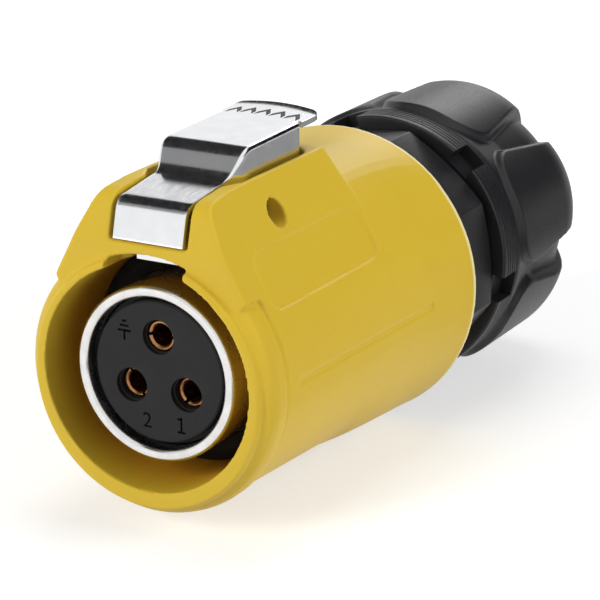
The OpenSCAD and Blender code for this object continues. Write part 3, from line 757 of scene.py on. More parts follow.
@dataclass
class Group:
    """Pieces that are built together from one box of paint."""

    paint: Paintbox

    def machine(self, node: str, name: str, body: Body, slot: Slot, edges: EdgeBreak) -> None:
        """Makes a piece with broken edges in place of its solid.

        Args:
            node: Name of the CAD node.
            name: Name of the piece.
            body: The body that carries it.
            slot: Its slot.
            edges: How its edges are broken.
        """
        piece = edges.copy(node, name)
        self.paint.dress(piece, slot)
        stand_for(piece, body, slot, node)


@dataclass
class FrontShell(Group):
    """The yellow moulded shell."""

    form: Moulding = Moulding(0.2, 2, 0.31)
    rim_mm: Point = (45.0, 15.0)
    rim_passes: int = 8

    def build(self) -> None:
        """Makes the shell with softly worn edges in place of the faceted solid."""
        piece = self.form.copy("front_shell", "shell")
        self._round_rim(piece)
        self.paint.dress(piece, Slot.YELLOW_SHELL)
        stand_for(piece, Body.CONNECTOR, Slot.YELLOW_SHELL, "front_shell")

    def _round_rim(self, piece: Piece) -> None:
        """Rounds the outer rim at the shell's rear further.

        Args:
            piece: The shell.
        """
        start, radius = (size * MM for size in self.rim_mm)
        rim = piece.vertex_groups.new(name="rear_rim")
        rim.add([v.index for v in piece.data.vertices
                 if v.co.y > start and math.hypot(v.co.x, v.co.z) > radius], 1.0, "REPLACE")
        modify(piece, "round_rim", "SMOOTH", factor=SMOOTH_FACTOR, iterations=self.rim_passes,
               vertex_group=rim.name)
        freeze(piece)
        piece.vertex_groups.clear()


@dataclass
class PushLatch(Group):
    """The bent steel latch with its press mark, pin and spring."""

    line_mm: tuple[Triple, ...] = (
        (1.1, 15.11, 0), (2.15, 19.36, 1.9), (10.54, 20.34, 2.5), (12.88, 23.45, 2.5),
        (29.9, 24.1, 0))
    bend_steps: int = 14
    row_mm: float = 0.35
    columns: int = 25
    sheet_mm: float = 0.7
    rim_mm: float = 0.13
    rim_deg: float = 55.0
    crease_deg: float = 50.0
    tongue_half_mm: float = 4.35
    press_half_mm: float = 5.4
    flare: tuple[Point, ...] = (
        (9.4, 0), (10.2, 0.06), (11.0, 0.28), (11.8, 0.62), (12.5, 0.88), (13.2, 1))
    crown_mm: Point = (0.0, 0.35)
    crown_run_mm: Point = (11.2, 13.2)
    corner_mm: float = 0.9
    corner_steps: int = 8
    roll_mm: Point = (0.1, 0.5)
    roll_full_mm: float = 13.5
    roll_steps: int = 7
    bow_mm: float = 0.5
    bow_start_mm: float = 25.0
    lip_mm: float = 0.25
    lip_start_mm: float = 28.2
    skirt_mm: Point = (9.6, 24.9)
    skirt_front_mm: float = 19.9
    skirt_rear_mm: float = 19.35
    skirt_drop_mm: float = 0.4
    skirt_least_mm: float = 0.05
    skirt_steps: int = 9
    wing_gap_mm: float = 0.3
    wing_steps: int = 3
    ear_r_mm: float = 2.2
    hook_mm: tuple[float, float, float, float] = (3.05, 3.6, 12.26, 19.26)
    hook_edge_mm: float = 0.14
    pin_hole_mm: float = 1.56
    drill_mm: float = 20.0
    pin_edge: EdgeBreak = EdgeBreak(0.1)
    pivot_y_mm: float = 13.7
    pivot_z_mm: float = 16.48
    coil_r_mm: float = 1.94
    wire_r_mm: float = 0.22
    coil_half_mm: float = 2.4
    coil_turns: float = 7.422
    coil_start_deg: float = 118.0
    coil_foot_mm: float = 14.1
    coil_keep: float = 0.87
    up_leg_mm: float = 9.4
    down_leg_mm: float = 8.0
    arrows: int = 5
    arrow_pitch_mm: float = 1.9
    arrow_w_mm: float = 1.6
    arrow_point_mm: float = 1.5
    arrow_line_mm: float = 1.1
    arrow_strips: int = 6
    mark_y_mm: float = 25.2
    mark_drop_mm: Point = (30.0, 20.0)
    ink_mm: float = 0.012

    def build(self) -> None:
        """Makes the latch and what it turns on."""
        latch = self._sheet()
        self.paint.dress(latch, Slot.POLISHED_STEEL)
        self._mark(latch)
        stand_for(latch, Body.LATCH, Slot.POLISHED_STEEL, "push_latch")
        self._spring()
        self.machine("latch_pin", "cross_pin", Body.CONNECTOR, Slot.STEEL, self.pin_edge)

    @property
    def _rear(self) -> float:
        """Station of the rear edge."""
        return self.line_mm[-1][0]

    def _rows(self) -> list[Point]:
        """Stations and heights along the latch's outer line, closer at its rear corners.

        Returns:
            The points.
        """
        (ahead, low, _), (rear, high, _) = self.line_mm[-2:]
        rise = (high - low) / (rear - ahead)
        line = evened(rounded(self.line_mm, self.bend_steps), self.row_mm)
        rows = [p for p in line if p[0] < rear - self.corner_mm]
        for k in range(self.corner_steps + 1):
            y = rear - self.corner_mm * (1 - math.sin(math.pi / (2 * self.corner_steps) * k))
            rows.append((y, high - rise * (rear - y)))
        return rows

    def _half(self, y: float) -> float:
        """Half width of the latch.

        Args:
            y: A station.

        Returns:
            The half width there.
        """
        share = np.interp(y, *zip(*self.flare))
        half = self.tongue_half_mm + (self.press_half_mm - self.tongue_half_mm) * float(share)
        over = y - (self._rear - self.corner_mm)
        if over > 0:
            half -= self.corner_mm - math.sqrt(max(self.corner_mm ** 2 - over ** 2, 0))
        return half

    def _roll(self, y: float) -> float:
        """Radius at which the sheet rolls into its skirts at a station."""
        start = self.skirt_mm[0]
        return float(np.interp(y, (start, self.roll_full_mm), self.roll_mm)) if y >= start else 0.0

    def _fall(self, x: float, y: float) -> float:
        """How far the crown has fallen, less the rise of the rear lip.

        Args:
            x: Distance of a point from the middle.
            y: Its station.

        Returns:
            The fall there.
        """
        crown = np.interp(y, (*self.crown_run_mm, self._rear), (0, *self.crown_mm))
        along = (y - self.lip_start_mm) / (self._rear - self.lip_start_mm)
        return float(crown) * (x / self.press_half_mm) ** 2 - self.lip_mm * max(along, 0) ** 2

    def _bow(self, x: float, y: float) -> float:
        """How far the plate's rear is drawn in at a point, so that its edge bows."""
        share = (y - self.bow_start_mm) / (self._rear - self.bow_start_mm)
        return self.bow_mm * max(share, 0) ** 2 * (x / self.press_half_mm) ** 2

    def _skirt_foot(self, y: float, top: float) -> float:
        """Lower edge of the skirts at a station.

        Args:
            y: The station.
            top: Height of the skirt's upper edge there.

        Returns:
            Height of the lower edge.
        """
        ahead, behind = self.pivot_y_mm - self.ear_r_mm, self.pivot_y_mm + self.ear_r_mm
        line = float(np.interp(
            y, (self.skirt_mm[0], ahead, behind, self.skirt_mm[1]),
            (self.skirt_front_mm, self.pivot_z_mm, self.pivot_z_mm - self.skirt_drop_mm,
             self.skirt_rear_mm)))
        gap = self.ear_r_mm ** 2 - (y - self.pivot_y_mm) ** 2
        ear = self.pivot_z_mm - math.sqrt(gap) if gap > 0 else line
        return min(line, ear, top - self.skirt_least_mm)

    def _edge(self, y: float, z: float) -> list[Point]:
        """Section of a rolled edge and its skirt.

        Args:
            y: Station of the section.
            z: Height of the latch's line there.

        Returns:
            Points of half width and height, without the first, which the plate has.
        """
        half, roll = self._half(y), self._roll(y)
        top = z - self._fall(half - roll, y)
        turn = [(half - roll + roll * math.sin(a), top - roll + roll * math.cos(a))
                for a in np.linspace(0, math.pi / 2, self.roll_steps + 1)[1:]]
        drop = self._skirt_foot(y, top - roll) - top + roll
        steps = self.skirt_steps
        return turn + [(half, top - roll + drop * k / steps) for k in range(1, steps + 1)]

    def _wing(self, y: float, z: float) -> list[Point]:
        """Section of the plate's free edge behind the skirts.

        Args:
            y: Station of the section.
            z: Height of the latch's line there.

        Returns:
            Points of half width and height, without the first, which the plate has.
        """
        half = self._half(y)
        places = np.linspace(half - self._roll(y), half, self.wing_steps + 1)[1:]
        return [(x, z - self._fall(x, y)) for x in places]

    def _bend(self, shape: bmesh.types.BMesh) -> None:
        """Lays the sheet's outer face: the plate, and on each side the skirt and the free edge.

        Args:
            shape: The open mesh that takes the faces, in millimetres.
        """
        rows = self._rows()
        core = []
        for y, z in rows:
            reach = self._half(y) - self._roll(y)
            core.append([shape.verts.new((x, y - self._bow(x, y), z - self._fall(x, y)))
                         for x in np.linspace(-reach, reach, self.columns)])
        weave(shape, core)
        free = self.skirt_mm[1] + self.wing_gap_mm
        for side in (-1, 1):
            for section, low, high in ((self._edge, *self.skirt_mm), (self._wing, free, math.inf)):
                strip = []
                for (y, z), row in zip(rows, core):
                    if low <= y <= high:
                        points = [shape.verts.new((side * x, y - self._bow(x, y), h))
                                  for x, h in section(y, z)]
                        strip.append([row[-1 if side > 0 else 0], *points])
                weave(shape, strip if side > 0 else [row[::-1] for row in strip])

    def _sheet(self) -> Piece:
        """Bends the latch from one sheet, with rolled skirts, pin holes and the hook.

        Returns:
            The piece.
        """
        mesh = bpy.data.meshes.new("latch_sheet")
        with editing(mesh) as shape:
            self._bend(shape)
            bmesh.ops.scale(shape, vec=(MM,) * 3, verts=shape.verts)
        piece = add_piece("latch_sheet", mesh)
        modify(piece, "sheet", "SOLIDIFY", thickness=self.sheet_mm * MM, offset=-1,
               use_even_offset=True)
        modify(piece, "rim", "BEVEL", width=self.rim_mm * MM, segments=3, limit_method="ANGLE",
               angle_limit=math.radians(self.rim_deg))
        drill = self._pin_drill()
        modify(piece, "pin_holes", "BOOLEAN", operation="DIFFERENCE", solver="EXACT", object=drill)
        freeze(piece)
        bpy.data.objects.remove(drill)
        self._add_hook(piece.data)
        shade(piece, self.crease_deg)
        return piece

    def _pin_drill(self) -> Piece:
        """The round bar that cuts the pin holes.

        Returns:
            The bar, across the latch at its pivot.
        """
        place = Matrix.Translation((0, self.pivot_y_mm * MM, self.pivot_z_mm * MM))
        radius = self.pin_hole_mm * MM
        mesh = bpy.data.meshes.new("pin_drill")
        with editing(mesh) as bar:
            bmesh.ops.create_cone(
                bar, cap_ends=True, segments=64, radius1=radius, radius2=radius,
                depth=self.drill_mm * MM, matrix=place @ Matrix.Rotation(math.pi / 2, 4, "Y"))
        return add_piece("pin_drill", mesh)

    def _add_hook(self, mesh: Mesh) -> None:
        """Adds the catch that hangs under the tongue.

        Args:
            mesh: The latch's mesh.
        """
        half, y, low, high = self.hook_mm
        size = Matrix.Diagonal((2 * half * MM, self.sheet_mm * MM, (high - low) * MM, 1))
        place = Matrix.Translation((0, (y + self.sheet_mm / 2) * MM, (low + high) / 2 * MM))
        with editing(mesh) as shape:
            block = bmesh.ops.create_cube(shape, size=1, matrix=place @ size)["verts"]
            edges = list({edge for vert in block for edge in vert.link_edges})
            bmesh.ops.bevel(shape, geom=edges, offset=self.hook_edge_mm * MM, segments=3,
                            affect="EDGES", profile=0.5)

    def _arrow(self) -> Mesh:
        """One flat arrowhead that points to the rear.

        Returns:
            Its mesh, made of short strips so that it can bend over the plate.
        """
        half, line, point = (size * MM for size in (
            self.arrow_w_mm / 2, self.arrow_line_mm, self.arrow_point_mm))
        verts = []
        for i in range(self.arrow_strips + 1):
            x = half * (2 * i / self.arrow_strips - 1)
            y = point * (1 - abs(x) / half)
            verts += [(x, y, 0), (x, y + line, 0)]
        faces = [(k, k + 2, k + 3, k + 1) for k in range(0, 2 * self.arrow_strips, 2)]
        mesh = bpy.data.meshes.new("arrow")
        mesh.from_pydata(verts, [], faces)
        return mesh

    def _mark(self, latch: Piece) -> None:
        """Prints a row of arrowheads across the press plate.

        Args:
            latch: The sheet that the row lies on.
        """
        height, ray = (size * MM for size in self.mark_drop_mm)
        tree = GeometryTree("press_mark", arrows=self.arrows, pitch=self.arrow_pitch_mm * MM,
                            station=self.mark_y_mm * MM, drop_height=height,
                            ink_thickness=self.ink_mm * MM, plate=latch)
        m, size = tree.math, tree.size
        first = m("MULTIPLY", size.pitch, m("DIVIDE", m("SUBTRACT", 1, size.arrows), 2))
        start = tree.vector(first, size.station, size.drop_height)
        line = tree.add("MeshLine", {"Count": size.arrows, "Start Location": start,
                                     "Offset": tree.vector(size.pitch)}, mode="OFFSET")
        row = tree.add("InstanceOnPoints", {"Points": line, "Instance": tree.geometry})
        flat = tree.add("RealizeInstances", {"Geometry": row})
        plate = tree.add("ObjectInfo", {"Object": size.plate}, "Geometry")
        hit = tree.add("Raycast", {"Target Geometry": plate, "Ray Direction": (0, 0, -1),
                                   "Ray Length": ray}, "Hit Position")
        lift = tree.add("ShaderNodeVectorMath", {0: hit.node.outputs["Hit Normal"],
                                                 "Scale": size.ink_thickness}, operation="SCALE")
        seat = tree.add("ShaderNodeVectorMath", {0: hit, 1: lift}, operation="ADD")
        laid = tree.add("SetPosition", {"Geometry": flat, "Position": seat})
        mark = tree.grow(laid, PRESS_INK.material(), self._arrow())
        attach(mark, Body.LATCH.value)
        LOG.info("press_mark: %d arrowheads", self.arrows)

    def _spring(self) -> None:
        """Winds the torsion spring round the pin."""
        tree = GeometryTree("latch_coil", coil_radius=self.coil_r_mm * MM,
                            wire_radius=self.wire_r_mm * MM,
                            coil_length=2 * self.coil_half_mm * MM, turns=self.coil_turns)
        size = tree.size
        helix = tree.helix(size.coil_radius, size.coil_length, size.turns, resolution=40)
        spun = tree.add("Transform", {
            "Geometry": helix, "Rotation": (0, 0, math.radians(self.coil_start_deg))})
        laid = tree.add("Transform", {
            "Geometry": spun, "Rotation": (math.pi / 2, 0, math.pi / 2),
            "Translation": (-self.coil_half_mm * MM, self.pivot_y_mm * MM, self.pivot_z_mm * MM)})
        whole = tree.add("JoinGeometry", {"Geometry": laid})
        for start, end in self._legs():
            leg = tree.add("CurvePrimitiveLine", {"Start": start, "End": end})
            tree.feed(leg, whole.node.inputs["Geometry"])
        wire = tree.wire(whole, size.wire_radius, 14)
        coil = tree.grow(wire, self.paint[Slot.STEEL])
        stand_for(coil, Body.CONNECTOR, Slot.STEEL, "latch_spring")
        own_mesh(coil)

    def _legs(self) -> Iterable[tuple[Vector, Vector]]:
        """Ends of the spring's two straight legs.

        Yields:
            The start and end of a leg, in metres.
        """
        rise = math.radians(self.coil_start_deg)
        lean = rise - math.pi / 2
        pivot = Vector((0, self.pivot_y_mm, self.pivot_z_mm))
        top = pivot + Vector((-self.coil_half_mm, self.coil_r_mm * math.cos(rise),
                              self.coil_r_mm * math.sin(rise)))
        yield top * MM, (top + self.up_leg_mm * Vector((0, math.cos(lean), math.sin(lean)))) * MM
        bottom = pivot + Vector((self.coil_half_mm, 0, -self.coil_r_mm))
        yield bottom * MM, (bottom + Vector((0, self.down_leg_mm, 0))) * MM


@dataclass
class ContactSet(Group):
    """The plated ring, the numbered insulator and the sockets in the mouth."""

    ring_edge: EdgeBreak = EdgeBreak(0.16, 4)
    insert_edge: EdgeBreak = EdgeBreak(0.22, 4)
    socket_edge: EdgeBreak = EdgeBreak(0.06, 2)
    sockets: tuple[str, ...] = ("earth", "1", "2")
    face_y_mm: float = 2.9
    engraving_mm: float = 0.2
    digit_mm: float = 2.5
    digits: tuple[tuple[str, float, float], ...] = (("1", 2.8, -5.7), ("2", -1.55, -5.87))
    line_mm: float = 0.26
    earth_x_mm: float = -4.3
    earth_bars: tuple[Point, ...] = ((1.7, 4.15), (1.15, 4.72), (0.55, 5.25))
    earth_stem_mm: Point = (3.05, 4.15)
    figure_bars: tuple[Triple, ...] = ((2.82, -6.48, 1.0), (2.6, -4.97, 0.55))

    def build(self) -> None:
        """Makes the ring, the insulator and the contacts."""
        self.machine("shield_ring", "plated_ring", Body.CONNECTOR, Slot.NICKEL, self.ring_edge)
        insert = self.insert_edge.copy("contact_insert", "front_insulator")
        self.paint.dress(insert, Slot.DARK_INSERT)
        self._engrave(insert)
        stand_for(insert, Body.CONNECTOR, Slot.DARK_INSERT, "contact_insert")
        for name in self.sockets:
            self.machine(f"contact_{name}", f"socket_{name}", Body.CONNECTOR, Slot.SOCKET_BRASS,
                         self.socket_edge)

    def _on_face(self, x: float, z: float) -> Matrix:
        """Moves a mark to its place on the insulator's face."""
        return Matrix.Translation((x * MM, self.face_y_mm * MM, z * MM))

    def _bars(self) -> Iterable[tuple[float, float, float, float]]:
        """The straight lines of the earth mark, and the foot and flag of the figure 1.

        Yields:
            The middle, width and height of a bar.
        """
        for width, z in self.earth_bars:
            yield self.earth_x_mm, z, width, self.line_mm
        low, high = self.earth_stem_mm
        yield self.earth_x_mm, (low + high) / 2, self.line_mm, high - low
        for bar in self.figure_bars:
            yield *bar, self.line_mm

    def _digit(self, text: str, x: float, z: float) -> Mesh:
        """A digit's solid, set in the insulator's face.

        Args:
            text: The digit.
            x: Its place across the face.
            z: Its height.

        Returns:
            Its mesh.
        """
        curve = bpy.data.curves.new("digit", "FONT")
        configure(curve, body=text, size=self.digit_mm * MM, align_x="CENTER", align_y="CENTER",
                  extrude=self.engraving_mm * MM)
        letter = add_piece("digit", curve)
        bpy.context.view_layer.update()
        mesh = bpy.data.meshes.new_from_object(letter)
        mesh.transform(self._on_face(x, z) @ Matrix.Rotation(math.pi / 2, 4, "X"))
        bpy.data.objects.remove(letter)
        return mesh

    def _engrave(self, insert: Piece) -> None:
        """Sinks the contact numbers and the earth mark into the face, with painted shade on their
        sunk faces.

        Args:
            insert: The insulator.
        """
        mesh = bpy.data.meshes.new("mark_tool")
        with editing(mesh) as tool:
            for digit in self.digits:
                tool.from_mesh(self._digit(*digit))
            for x, z, width, height in self._bars():
                size = Matrix.Diagonal((width * MM, 2 * self.engraving_mm * MM, height * MM, 1))
                bmesh.ops.create_cube(tool, size=1, matrix=self._on_face(x, z) @ size)
            bmesh.ops.remove_doubles(tool, verts=tool.verts, dist=1e-7)
            bmesh.ops.recalc_face_normals(tool, faces=tool.faces)
        # The sunk faces take the near-black material: painted shade in the engraving.
        mesh.materials.append(MARK_PAINTED_SHADE.material())
        cutter = add_piece("mark_tool", mesh)
        modify(insert, "engraving", "BOOLEAN", operation="DIFFERENCE", solver="EXACT",
               use_self=True, material_mode="TRANSFER", object=cutter)
        freeze(insert)
        shade(insert, SHARP_DEG)
        bpy.data.objects.remove(cutter)


@dataclass
class GlandNut(Group):
    """The lobed nut: a turned blank whose lobes and notches follow a rule."""

    front_mm: float = 56.2
    rear_mm: float = 82.1
    band_r_mm: float = 16.9
    core_r_mm: float = 15.7
    cone_len_mm: float = 7.0
    dome_mm: float = 73.9
    dome_steps: int = 32
    end_r_mm: float = 11.4
    hole_r_mm: float = 6.6
    seat_mm: float = 76.15
    seat_r_mm: float = 11.5
    bore_end_mm: float = 72.4
    bore_r_mm: float = 13.35
    lobes: int = 6
    lobe_y_mm: float = 60.9
    lobe_r_mm: float = 17.8
    lobe_w_mm: float = 15.2
    lobe_end_w_mm: float = 10.7
    corner_mm: float = 5.0
    pillow_mm: float = 4.6
    edge_mm: float = 0.75
    edge_share: float = 0.51
    valley_turn_deg: float = 49.0
    notch_w_mm: float = 3.3
    notch_len_mm: float = 3.5
    notch_floor_mm: float = 15.3
    rings: int = 5
    ring_mm: float = 0.06
    ring_room_mm: Point = (0.9, 1.4)
    ring_steps_mm: Triple = (0.08, 0.2, 0.28)
    crease_deg: float = 60.0
    segments: int = 480
    ruled: tuple[str, ...] = (
        "front", "rear", "band_r", "core_r", "cone_len", "dome", "end_r", "lobe_y", "lobe_w",
        "lobe_end_w", "corner", "pillow", "edge", "notch_w", "notch_len", "notch_floor")

    def build(self) -> None:
        """Draws the blank in round its lobes, notches it and puts it in place of the solid."""
        lengths = {name: getattr(self, f"{name}_mm") * MM for name in self.ruled}
        tree = GeometryTree("lobed_nut", **lengths, lobes=self.lobes,
                            valley_turn=math.radians(self.valley_turn_deg))
        m, size = tree.math, tree.size
        place = tree.axes(tree.add("InputPosition", {}))
        x, y, z = (place[axis] for axis in "XYZ")
        radius = tree.hypot(x, z)
        share = m("DIVIDE", self._surface(tree, (x, y, z), radius), radius)
        moved = tree.vector(m("MULTIPLY", x, share), y, m("MULTIPLY", z, share))
        start = m("SUBTRACT", size.lobe_y, m("MULTIPLY", size.edge, self.edge_share))
        behind = m("GREATER_THAN", y, start)
        outside = m("GREATER_THAN", radius, self._core(tree, y))
        lobed = tree.add("SetPosition", {"Geometry": tree.geometry, "Position": moved,
                                         "Selection": m("MULTIPLY", behind, outside)})
        whole = tree.add("MeshBoolean", {"Mesh 1": lobed, "Mesh 2": self._notches(tree)},
                         operation="DIFFERENCE", solver="EXACT")
        blank = turned("nut_blank", self._loop(), self.segments)
        piece = tree.grow(whole, self.paint[Slot.BLACK_BODY], blank)
        shade(piece, self.crease_deg)
        stand_for(piece, Body.NUT, Slot.BLACK_BODY, "gland_nut")

    def _loop(self) -> list[Point]:
        """Section of the blank, as wide as the lobes all round.

        Returns:
            Points of radius and station.
        """
        band_r, front, rear = self.band_r_mm, self.front_mm, self.rear_mm
        corners = [(self.bore_r_mm, front, 0.15), (band_r, front, 0.3)]
        first, room = self.ring_room_mm
        fall, floor, end = self.ring_steps_mm
        pitch = (self.lobe_y_mm - front - room) / self.rings
        for i in range(self.rings):
            y = front + first + i * pitch
            corners += [(band_r, y, 0), (band_r - self.ring_mm, y + fall, 0),
                        (band_r - self.ring_mm, y + floor, 0), (band_r, y + end, 0)]
        start = self.lobe_y_mm - self.edge_mm / 2
        band = evened([*rounded(corners), (band_r, start - 0.05)], 0.6)
        dome = []
        for a in np.linspace(0, math.pi / 2, self.dome_steps):
            r = self.end_r_mm + (self.lobe_r_mm - self.end_r_mm) * math.cos(a)
            dome.append((r, self.dome_mm + (rear - self.dome_mm) * math.sin(a)))
        land = evened([(self.lobe_r_mm, start), *dome], 0.22)
        inside = rounded([
            (self.end_r_mm, rear, 0), (self.hole_r_mm, rear, 0.4),
            (self.hole_r_mm, self.seat_mm, 0.1), (self.seat_r_mm, self.seat_mm, 0.1),
            (self.bore_r_mm, self.bore_end_mm, 0.1), (self.bore_r_mm, front + 1, 0)])
        return [*band, *land, *evened(inside[1:], 2.0)]

    @staticmethod
    def _core(tree: GeometryTree, y: Socket) -> Socket:
        """Radius of the nut between its lobes: a cone and then a dome.

        Args:
            tree: The nut's tree.
            y: Station along the nut.

        Returns:
            The radius.
        """
        m, size = tree.math, tree.size
        cone_end = m("ADD", size.lobe_y, size.cone_len)
        cone = tree.spread(y, size.lobe_y, cone_end, size.band_r, size.core_r)
        rise = tree.spread(y, size.dome, size.rear, 0.0, 1.0)
        arc = m("SQRT", m("SUBTRACT", 1, m("MULTIPLY", rise, rise)))
        drop = m("MULTIPLY", m("SUBTRACT", size.core_r, size.end_r), m("SUBTRACT", 1, arc))
        return m("SUBTRACT", cone, drop)

    def _surface(self, tree: GeometryTree, place: Sequence[Socket], radius: Socket) -> Socket:
        """Radius of the nut's outside: pillowed lobes with rounded fronts that stand on the core.

        Args:
            tree: The nut's tree.
            place: Place of a point, by axis.
            radius: Its distance from the axis.

        Returns:
            The radius that it moves to.
        """
        m, size = tree.math, tree.size
        x, y, z = place
        half = m("DIVIDE", math.pi, size.lobes)
        angle = m("SUBTRACT", m("ARCTAN2", z, x), m("ADD", size.valley_turn, half))
        turn = m("WRAP", angle, half, m("MULTIPLY", half, -1))
        own_r = m("SUBTRACT", radius, size.pillow)
        off = m("MULTIPLY", size.pillow, m("SINE", turn))
        reach = m("SUBTRACT", m("MULTIPLY", own_r, own_r), m("MULTIPLY", off, off))
        pillow = m("ADD", m("MULTIPLY", size.pillow, m("COSINE", turn)),
                   m("SQRT", m("MAXIMUM", reach, 0)))
        across = m("ABSOLUTE", m("MULTIPLY", pillow, m("SINE", turn)))
        corner_end = m("ADD", size.lobe_y, size.corner)
        width = tree.spread(y, corner_end, size.rear, size.lobe_w, size.lobe_end_w)
        side = m("ADD", m("SUBTRACT", across, m("MULTIPLY", width, 0.5)), size.corner)
        ahead = m("ADD", m("SUBTRACT", size.lobe_y, y), size.corner)
        within = m("MINIMUM", m("MAXIMUM", side, ahead), 0)
        beyond = tree.hypot(m("MAXIMUM", side, 0), m("MAXIMUM", ahead, 0))
        inset = m("SUBTRACT", size.corner, m("ADD", within, beyond))
        edge = m("MULTIPLY", size.edge, 0.5)
        share = tree.spread(inset, m("MULTIPLY", edge, -1), edge, 0.0, 1.0, "SMOOTHSTEP")
        core = self._core(tree, y)
        height = m("MAXIMUM", m("SUBTRACT", pillow, core), 0)
        return m("ADD", core, m("MULTIPLY", height, share))

    @staticmethod
    def _notches(tree: GeometryTree) -> Socket:
        """Blocks that cut the band's notches, one between each two lobes.

        Args:
            tree: The nut's tree.

        Returns:
            The blocks.
        """
        m, size = tree.math, tree.size
        extent = tree.vector(size.notch_floor, m("MULTIPLY", size.notch_len, 2), size.notch_w)
        box = tree.add("MeshCube", {"Size": extent})
        place = tree.vector(m("MULTIPLY", size.notch_floor, 1.5), size.front, 0)
        out = tree.add("Transform", {"Geometry": box, "Translation": place})
        points = tree.add("Points", {"Count": size.lobes})
        step = m("MULTIPLY", tree.add("InputIndex", {}), m("DIVIDE", math.tau, size.lobes))
        spin = tree.vector(0, m("MULTIPLY", m("ADD", size.valley_turn, step), -1), 0)
        blocks = tree.add("InstanceOnPoints", {"Points": points, "Instance": out, "Rotation": spin})
        return tree.add("RealizeInstances", {"Geometry": blocks})


@dataclass
class RearGroup(Group):
    """The eight-sided body and what the gland nut closes on."""

    pieces: tuple[tuple[str, str, Body, Slot, float], ...] = (
        ("rear_body", "octagon_body", Body.CONNECTOR, Slot.BLACK_BODY, 0.35),
        ("clamp_claw", "finger_clamp", Body.CONNECTOR, Slot.BLACK_BODY, 0.15),
        ("cable_seal", "seal_sleeve", Body.CONNECTOR, Slot.SEAL_RUBBER, 0.25),
        ("thrust_ring", "slip_washer", Body.SLIP_RING, Slot.BLACK_BODY, 0.2),
        ("interface_seal", "face_seal", Body.CONNECTOR, Slot.SEAL_RUBBER, 0.15),
        ("rear_insert", "rear_insulator", Body.CONNECTOR, Slot.PALE_INSERT, 0.2),
        ("insert_retainer", "clamp_ring", Body.CONNECTOR, Slot.NICKEL, 0.2),
        ("insert_clip", "snap_ring", Body.CONNECTOR, Slot.STEEL, 0.1),
        ("terminal_screws", "grub_screws", Body.CONNECTOR, Slot.STEEL, 0.08),
    )
    rings: tuple[str, ...] = ("insert_o_ring", "body_o_ring")
    thread_mm: Point = (57.6, 69.6)
    thread_r_mm: float = 13.15
    pitch_mm: float = 2.0
    crest_mm: float = 0.3
    crest_height_mm: float = 0.13

    def build(self) -> None:
        """Makes the pieces with broken edges, the spigot's thread and the dressed soft rings."""
        for node, name, body, slot, width in self.pieces:
            self.machine(node, name, body, slot, EdgeBreak(width))
        self._thread()
        for node in self.rings:
            self.paint.dress(frame["nodes"][node], Slot.SEAL_RUBBER)

    def _thread(self) -> None:
        """Winds the shallow right-hand thread that the gland nut runs on."""
        start, end = self.thread_mm
        radius = self.thread_r_mm + self.crest_height_mm - self.crest_mm
        tree = GeometryTree("spigot_thread", helix_radius=radius * MM,
                            thread_length=(end - start) * MM, turns=(end - start) / self.pitch_mm,
                            crest_radius=self.crest_mm * MM)
        size = tree.size
        helix = tree.helix(size.helix_radius, size.thread_length, size.turns, resolution=72,
                           reverse=True)
        laid = tree.add("Transform", {"Geometry": helix, "Rotation": (-math.pi / 2, 0, 0),
                                      "Translation": (0, start * MM, 0)})
        ridge = tree.grow(tree.wire(laid, size.crest_radius, 12), self.paint[Slot.BLACK_BODY])
        stand_for(ridge, Body.CONNECTOR, Slot.BLACK_BODY)


@dataclass(frozen=True)
class Lamp:
    """A soft square lamp that faces the connector."""

    name: str
    place: Triple
    size: float
    power: float
    in_reflections: bool = True


@dataclass(frozen=True)
class Card:
    """A grey card that only shows in reflections and faces the connector unless told otherwise."""

    name: str
    place: Triple
    size: Point
    shade: float
    facing: Triple | None = None


